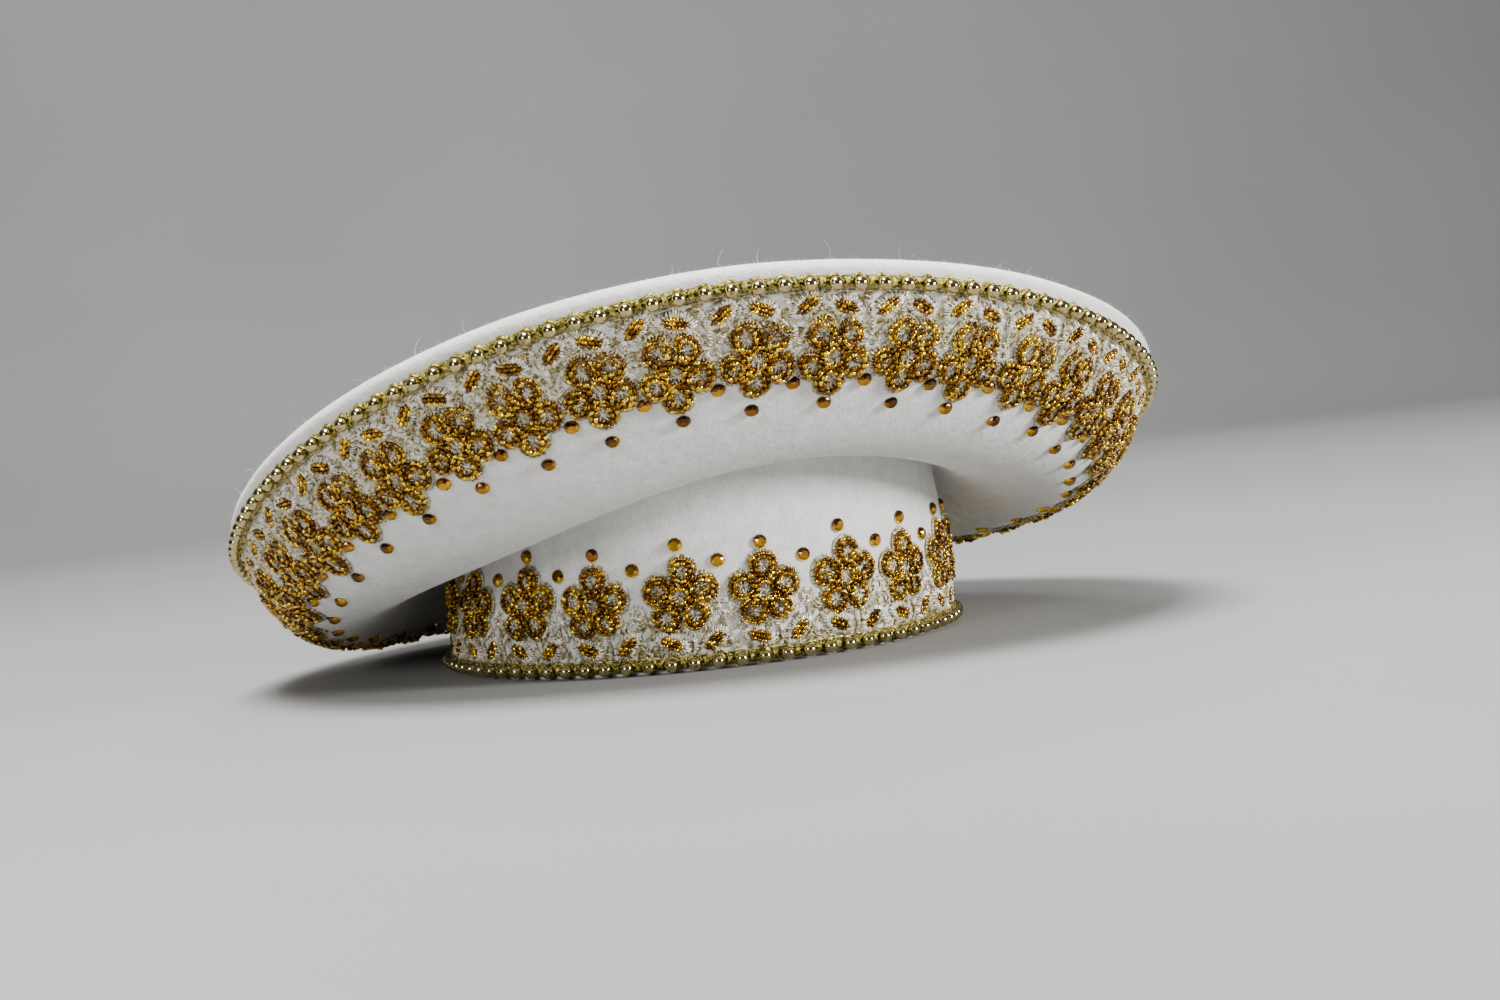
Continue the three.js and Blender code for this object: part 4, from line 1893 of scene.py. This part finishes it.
@dataclass
class LaceBand:
    """A band of beaded lace on one face of the felt."""

    name: str
    trees: Trees
    run: LaceRun
    flower_height: float
    leaf_height: float
    low: float
    high: float
    seed: int
    stretch: float = 1.0
    repeats: int = 2

    def build(self) -> None:
        """Makes the band's stitches, cords, padding (darkened with painted shade) and glass beads."""
        pattern = LacePattern(self.run.pitch, self.flower_height, self.leaf_height, self.seed, self.stretch)
        pattern.build(self.repeats)
        shared = {
            "Felt map": self.run.felt_map(f"{self.name}_map", self.low, self.high),
            "Repeats": self.run.flowers // self.repeats,
            "Pitch": self.run.pitch * self.repeats,
        }
        strands, patches = self.trees.strands, self.trees.patches
        for part, tree, layer, finish, extra in (
            ("stitches", strands, pattern.stitches, SILVER_THREAD, {"Sides": 3}),
            ("satin", strands, pattern.satin, SATIN_THREAD, {"Sides": 3}),
            ("cords", strands, pattern.cords, PALE_GOLD_CORD, {"Sides": 4}),
            # The padding layers hold real ground thread, darkened with painted shade for the gaps between
            # beads and stitches.
            ("silver_padding", patches, pattern.silver_pads, SILVER_AND_SHADE_GROUND, {}),
            ("amber_padding", patches, pattern.gold_pads, AMBER_AND_SHADE_GROUND, {}),
            ("net_padding", patches, pattern.net_pads, NET_AND_SHADE_GROUND, {}),
        ):
            motif = layer.motif(f"{self.name}_{part}_motif")
            values = shared | extra | {"Motif": motif, "Material": finish.material()}
            piece = tree.grow(f"{self.name}_lace_{part}", values)
            settle(piece, Slot.LACE_THREAD, *([f"{self.name}_lace"] if part == "stitches" else []))
        values = shared | Sewing(0.2, math.pi, 0.2, self.seed).values() | {
            "Motif": pattern.beads.motif(f"{self.name}_bead_motif"),
            "Bead": bugle_bead(pattern.bead_radius),
            "Material": GlassBeadFinish().material(),
        }
        settle(self.trees.beads.grow(f"{self.name}_glass_beads", values), Slot.BUGLE)


def bugle_bead(radius: float, length: float = 1.9 * MM, sides: int = 6) -> Object:
    """Makes a short six-sided tube bead along X.

    Args:
        radius: The bead's radius.
        length: Its length.
        sides: How many sides it has.

    Returns:
        The bead, a helper.
    """
    points = [(x, *point) for x in (-length / 2, length / 2) for point in radius * circle(sides)]
    faces = tube_faces(2, sides) + [tuple(range(sides - 1, -1, -1)), tuple(range(sides, 2 * sides))]
    return helper(mesh_object("bugle_bead", points, faces, smooth=False))


def round_bead(radius: float, sides: int = 12, rings: int = 7) -> Object:
    """Makes a round bead with its thread holes along X.

    Args:
        radius: The bead's radius.
        sides: How many sides it has.
        rings: How many steps it has from hole to hole.

    Returns:
        The bead, a helper.
    """
    points = [(-radius, 0.0, 0.0)]
    for tilt in np.arange(1, rings) * math.pi / rings:
        reach = radius * math.sin(tilt)
        points.extend((-radius * math.cos(tilt), *point) for point in reach * circle(sides))
    points.append((radius, 0.0, 0.0))
    last, tip = 1 + (rings - 2) * sides, len(points) - 1
    ends = fan_faces(1, sides, 0, above=False) + fan_faces(last, sides, tip)
    return helper(mesh_object("round_bead", points, tube_faces(rings - 1, sides, 1) + ends))


@dataclass(frozen=True)
class FacetedStone:
    """A flat-backed stone on the XY plane, with a table and a crown of facets.

    Its rings are shares of its radius and height, with each ring's turn in facets.
    """

    radius: float = 2.45 * MM
    height: float = 1.65 * MM
    sides: int = 10
    rings: tuple[Triple, ...] = ((1.0, 0.0, 0.0), (1.0, 0.25, 0.0), (0.86, 0.66, 0.5), (0.56, 1.0, 0.0))
    glow: float = 0.45
    glow_slope: float = 0.6
    glow_aside: float = 0.15
    glow_variation: float = 0.16
    seed: int = 17

    def build(self) -> Object:
        """Makes the stone.

        Returns:
            The stone, whose faces store a painted glow that stands in for light coming back through them
            from the foil: most on the side towards -Y.
        """
        points, faces, sides = [], [], self.sides
        for share, level, shift in self.rings:
            points.extend(raised(self.radius * share * circle(sides, shift), self.height * level))
        for side in range(sides):
            low, mid, high, top = (
                (ring * sides + side, ring * sides + (side + 1) % sides) for ring in range(len(self.rings))
            )
            faces.append((low[0], low[1], mid[1], mid[0]))
            faces += [(mid[0], mid[1], high[0]), (mid[1], high[1], high[0])]
            faces += [(high[0], high[1], top[1]), (high[0], top[1], top[0])]
        faces += [tuple(range(sides - 1, -1, -1)), tuple(range(3 * sides, 4 * sides))]
        made = mesh_object("faceted_stone", points, faces, smooth=False)
        # Painted glow: facets that face -Y or lie towards -Y are made brighter, with a little random spread.
        normals = np.array([face.normal[:] for face in made.data.polygons])
        middles = np.array([face.center[:] for face in made.data.polygons])
        draw, most = np.random.default_rng(self.seed), self.glow_variation
        varied = draw.uniform(-most, most, len(normals))
        glow = self.glow - self.glow_slope * normals[:, 1] - self.glow_aside * middles[:, 1] / self.radius
        glow = np.clip(glow + varied, 0, 1).astype(np.float32)
        made.data.attributes.new("glow", "FLOAT", "FACE").data.foreach_set("value", glow)
        return helper(made)


@dataclass
class StoneRows:
    """Two staggered rows of stones beyond a band of lace."""

    name: str
    trees: Trees
    run: LaceRun
    nodes: tuple[str, ...]
    near: float
    far: float
    # Turns each stone, and with it the side that holds its painted glow.
    heading: float
    seed: int
    lift: float = 0.15 * MM
    margin: float = 5 * MM
    unevenness: float = 0.6 * MM

    def build(self) -> None:
        """Makes both rows, one stone between flowers and one beyond each flower."""
        spots, draw = BeadSpots(), np.random.default_rng(self.seed)
        for flower in range(self.run.flowers):
            for share, distance in ((0.5, self.near), (0.0, self.far)):
                place = np.array([(flower + share) * self.run.pitch, distance])
                spots.add(place + draw.normal(0, self.unevenness, 2), self.lift, self.heading)
        low, high = self.near - self.margin, self.far + self.margin
        values = Sewing(0.1, 0.1, 0.06, self.seed, smooth=False).values() | {
            "Motif": spots.motif(f"{self.name}_spots"),
            "Felt map": self.run.felt_map(f"{self.name}_map", low, high),
            "Bead": FacetedStone().build(),
            "Repeats": 1,
            "Pitch": 0.0,
            "Material": StoneFinish().material(),
        }
        settle(self.trees.beads.grow(self.name, values), Slot.STONE, *self.nodes)


@dataclass(frozen=True)
class BraidCord:
    """A cord of the braid: how far off the bead it goes round, its height, and its reach between beads."""

    hug: float
    height: float
    waist: float


@dataclass
class BeadRow:
    """A row of metallised beads on a braid along an edge of the felt."""

    name: str
    trees: Trees
    face: FeltFace
    node: str
    count: int
    line_at: Callable[[Array], Array]
    across: float
    seed: int
    lift: float = 2.6 * MM
    radius: float = 2.32 * MM
    margin: float = 4 * MM
    samples: int = 1441
    map_row: float = 0.7 * MM
    cords: tuple[BraidCord, ...] = (
        BraidCord(-0.1 * MM, 1.3 * MM, 0.55 * MM),
        BraidCord(0.1 * MM, 0.75 * MM, 1.2 * MM),
    )
    cord: float = 0.3 * MM
    cord_sweep: float = math.radians(81)
    wraps: tuple[float, ...] = (-0.85 * MM, -0.3 * MM, 0.3 * MM, 0.85 * MM)
    wrap: float = 0.32 * MM
    wrap_reach: float = 1.75 * MM
    wrap_heights: Pair = (0.6 * MM, 2 * MM)
    ground_steps: int = 3
    ground_section: tuple[Pair, ...] = (
        (-1.7 * MM, 0.05 * MM),
        (-1.7 * MM, 0.45 * MM),
        (-0.85 * MM, 0.8 * MM),
        (0.85 * MM, 0.8 * MM),
        (1.7 * MM, 0.45 * MM),
        (1.7 * MM, 0.05 * MM),
    )

    def build(self) -> None:
        """Makes the beads, and the braid's ground and the cords that loop past them."""
        angles = np.linspace(0, FULL_TURN, self.samples)
        travelled = distances_along(self.line_at(angles))
        length = float(travelled[-1])
        pitch = length / self.count

        def angle_at(x: Array) -> Array:
            """Finds the angles at distances along the row, also a little beyond its ends."""
            turns = np.floor(x / length)
            return np.interp(x - turns * length, travelled, angles) + turns * FULL_TURN

        low, high = self.across - self.margin, self.across + self.margin
        felt_map = FeltMap(self.face, length, low, high, angle_at, row=self.map_row)
        shared = {"Felt map": felt_map.build(f"{self.name}_map"), "Repeats": self.count, "Pitch": pitch}
        spots = BeadSpots()
        spots.add((pitch / 2, self.across), self.lift)
        beads = Sewing(0.05, 1.0, 0.03, self.seed).values() | {
            "Motif": spots.motif(f"{self.name}_spots"),
            "Bead": round_bead(self.radius),
            "Material": MirrorBeadFinish().material(),
        }
        settle(self.trees.beads.grow(self.name, shared | beads), Slot.BEAD, self.node)
        motif = self.braid(pitch).motif(f"{self.name}_braid_lines")
        braid = {"Motif": motif, "Sides": 4, "Material": GOLD_BRAID.material()}
        settle(self.trees.strands.grow(f"{self.name}_braid", shared | braid), Slot.BRAID)
        ground = {"Motif": self.ground(pitch), "Material": BRAID_GROUND.material()}
        settle(self.trees.patches.grow(f"{self.name}_braid_ground", shared | ground), Slot.BRAID)

    def braid(self, pitch: float) -> Strands:
        """Makes one bead's length of the braid's cords, flat.

        Args:
            pitch: The distance from bead to bead.

        Returns:
            Two pairs of cords that close round the bead, and the wraps between beads.
        """
        strands = Strands()
        turn = np.linspace(-self.cord_sweep, self.cord_sweep, 9)
        for side in (-1, 1):
            for cord in self.cords:
                hug = self.radius + cord.hug
                x = np.concatenate([[0], pitch / 2 + hug * np.sin(turn), [pitch]])
                reach = np.maximum(np.concatenate([[0], hug * np.cos(turn), [0]]), cord.waist)
                line = np.column_stack([x, self.across + side * reach])
                strands.add(raised(line, cord.height), self.cord)
        low, high = self.wrap_heights
        for shift in self.wraps:
            foot, tip = ((shift, self.across + side * self.wrap_reach, low) for side in (-1, 1))
            strands.add(smooth_path([foot, (0.6 * shift, self.across, high), tip], 5), self.wrap)
        return strands

    def ground(self, pitch: float) -> Object:
        """Makes one bead's length of the flat braid under the cords.

        Args:
            pitch: The distance from bead to bead.

        Returns:
            The closed strip, a helper.
        """
        steps, section = self.ground_steps, self.ground_section
        sides = len(section)
        shares = np.arange(steps + 1) / steps
        points = [(pitch * share, self.across + y, z) for share in shares for y, z in section]
        ends = [tuple(range(sides - 1, -1, -1)), tuple(range(steps * sides, (steps + 1) * sides))]
        return helper(mesh_object(f"{self.name}_ground", points, tube_faces(steps + 1, sides) + ends))


# The studio


@dataclass(frozen=True)
class Viewpoint:
    """The place that the photograph was taken from, round the middle of the collar."""

    azimuth: float = -14.53
    elevation: float = 2.57
    roll: float = -5.99
    distance: float = 887.3 * MM
    aside: float = -17.05 * MM
    above: float = -50.57 * MM
    focal_pixels: float = 2450
    frame_pixels: float = 1500
    sensor: float = 36
    clip_start: float = 10 * MM

    def build(self, centre: Pair) -> Object:
        """Makes the camera.

        Args:
            centre: The middle of the collar.

        Returns:
            The camera, which the scene then uses.
        """
        a, e, r = (math.radians(x) for x in (self.azimuth, self.elevation, self.roll))
        back = np.array([math.sin(a) * math.cos(e), -math.cos(a) * math.cos(e), math.sin(e)])
        level = np.array([math.cos(a), math.sin(a), 0.0])
        upright = np.cross(back, level)
        right = math.cos(r) * level + math.sin(r) * upright
        up = -math.sin(r) * level + math.cos(r) * upright
        eye = -self.aside * right - self.above * up + self.distance * back
        eye[:2] += np.array(centre)
        data = bpy.data.cameras.new("camera")
        data.sensor_width = self.sensor
        data.lens = self.focal_pixels / self.frame_pixels * self.sensor
        data.clip_start = self.clip_start
        camera = linked("camera", data)
        pose = Matrix(np.column_stack([right, up, back]).tolist()).to_4x4()
        pose.translation = Vector(eye)
        camera.matrix_world = pose
        bpy.context.scene.camera = camera
        return camera


@dataclass
class SoftBox:
    """A large soft light that faces the hat."""

    name: str
    place: Triple
    size: Pair
    power: float
    aim: Triple = (0.0, 0.0, 0.07)

    def build(self) -> None:
        """Makes the light."""
        data = bpy.data.lights.new(self.name, "AREA")
        data.shape = "RECTANGLE"
        data.size, data.size_y = self.size
        data.energy = self.power
        light = linked(self.name, data)
        towards = Vector(self.aim) - Vector(self.place)
        turned = towards.to_track_quat("-Z", "Y").to_matrix().to_4x4()
        turned.translation = Vector(self.place)
        light.matrix_world = turned


@dataclass
class Studio:
    """A pale floor that curves up behind the hat, with soft light."""

    half_width: float = 2.6
    columns: int = 9
    front: float = -1.6
    back: float = 1.5
    cove: float = 0.8
    cove_steps: int = 12
    wall_height: float = 2.2
    horizon: Triple = (0.11, 0.11, 0.115)
    zenith: Triple = (0.62, 0.63, 0.65)
    horizon_height: Pair = (0.1, 0.9)
    air: float = 0.33
    lights: tuple[SoftBox, ...] = (
        SoftBox("key_light", (1.25, -1.1, 0.46), (0.42, 0.42), 46),
        SoftBox("fill_light", (-1.15, -1.15, 0.55), (0.4, 0.4), 11),
        SoftBox("top_light", (-0.3, -0.45, 1.45), (0.55, 0.55), 62),
        SoftBox("back_light", (0.4, 1.2, 1.2), (0.6, 0.4), 8),
        SoftBox("wall_light", (0.0, 0.7, 1.9), (1.8, 0.3), 22, aim=(0.0, 2.3, 0.5)),
    )

    def sweep(self) -> None:
        """Makes the floor and the wall behind it in one curved sheet."""
        path = [(self.front, 0.0), (0.0, 0.0), (self.back, 0.0)]
        for turn in np.linspace(0, math.pi / 2, self.cove_steps + 1)[1:]:
            path.append((self.back + self.cove * math.sin(turn), self.cove * (1 - math.cos(turn))))
        path.append((self.back + self.cove, self.wall_height))
        across = np.linspace(self.half_width, -self.half_width, self.columns)
        points = [(x, y, z) for x in across for y, z in path]
        made = mesh_object("studio_sweep", points, grid_faces(len(path), self.columns, closed=False))
        made.data.materials.append(StudioFinish().material())

    def surroundings(self) -> None:
        """Makes the air: dim at eye level and brighter above."""
        world = bpy.data.worlds.new("studio_air")
        world.use_nodes = True
        tree = TreeBuilder(world.node_tree)
        background = next(node for node in world.node_tree.nodes if node.type == "BACKGROUND")
        direction = tree.out("ShaderNodeTexCoord", name="Generated")
        height = tree.out("ShaderNodeSeparateXYZ", {0: direction}, "Z")
        share = {"Value": height, "From Min": self.horizon_height[0], "From Max": self.horizon_height[1]}
        share = tree.out("ShaderNodeMapRange", share, interpolation_type="SMOOTHSTEP")
        colour = tree.mixed(share, (*self.horizon, 1.0), (*self.zenith, 1.0), "RGBA")
        tree.put(background.inputs["Color"], colour)
        tree.put(background.inputs["Strength"], self.air)
        bpy.context.scene.world = world

    def build(self) -> None:
        """Makes the sweep, the lights and the air."""
        self.sweep()
        self.surroundings()
        for light in self.lights:
            light.build()


def main() -> None:
    """Builds the hat and its studio."""
    logging.basicConfig(level=logging.INFO, format="%(message)s")
    block = HatBlock()
    trees = Trees(strand_tree(), bead_tree(), patch_tree(), fibre_tree())
    shell = FeltBody(block).build()
    LooseFibres(shell, trees).build()
    collar = LaceRun(block, Face.COLLAR, flowers=20, first=-1, turn=1, pitch=29.5 * MM)
    halo = LaceRun(block, Face.HALO, flowers=38, first=-4.7, turn=-1, pitch=25.2 * MM)
    stones = tuple(name for name in frame["nodes"] if name.startswith("collar_stone"))
    wall, underside = FeltFace(block, Face.COLLAR), FeltFace(block, Face.HALO)
    wall_line = partial(block.oval, block.collar, height=3 * MM)
    rim_line = partial(block.rim_point, out=0.6 * MM, up=-0.6 * MM)
    for part in (
        LaceBand("collar", trees, collar, 24.5 * MM, 9.8 * MM, low=1 * MM, high=46 * MM, seed=5),
        LaceBand("halo", trees, halo, 23.9 * MM, 7.4 * MM, low=-5 * MM, high=44 * MM, seed=8, stretch=1.16),
        StoneRows("collar_stones", trees, collar, stones, 34.2 * MM, 41.2 * MM, heading=0, seed=2),
        StoneRows("halo_stones", trees, halo, (), 33.2 * MM, 42.5 * MM, heading=math.pi, seed=4),
        BeadRow("collar_beads", trees, wall, "collar_bead_trim", 80, wall_line, 3.1 * MM, seed=6),
        BeadRow("halo_beads", trees, underside, "halo_bead_trim", 135, rim_line, 0.0, seed=7),
    ):
        part.build()
    remove_helpers()
    Studio().build()
    Viewpoint().build(block.centre)


if __name__ == "__main__":
    main()
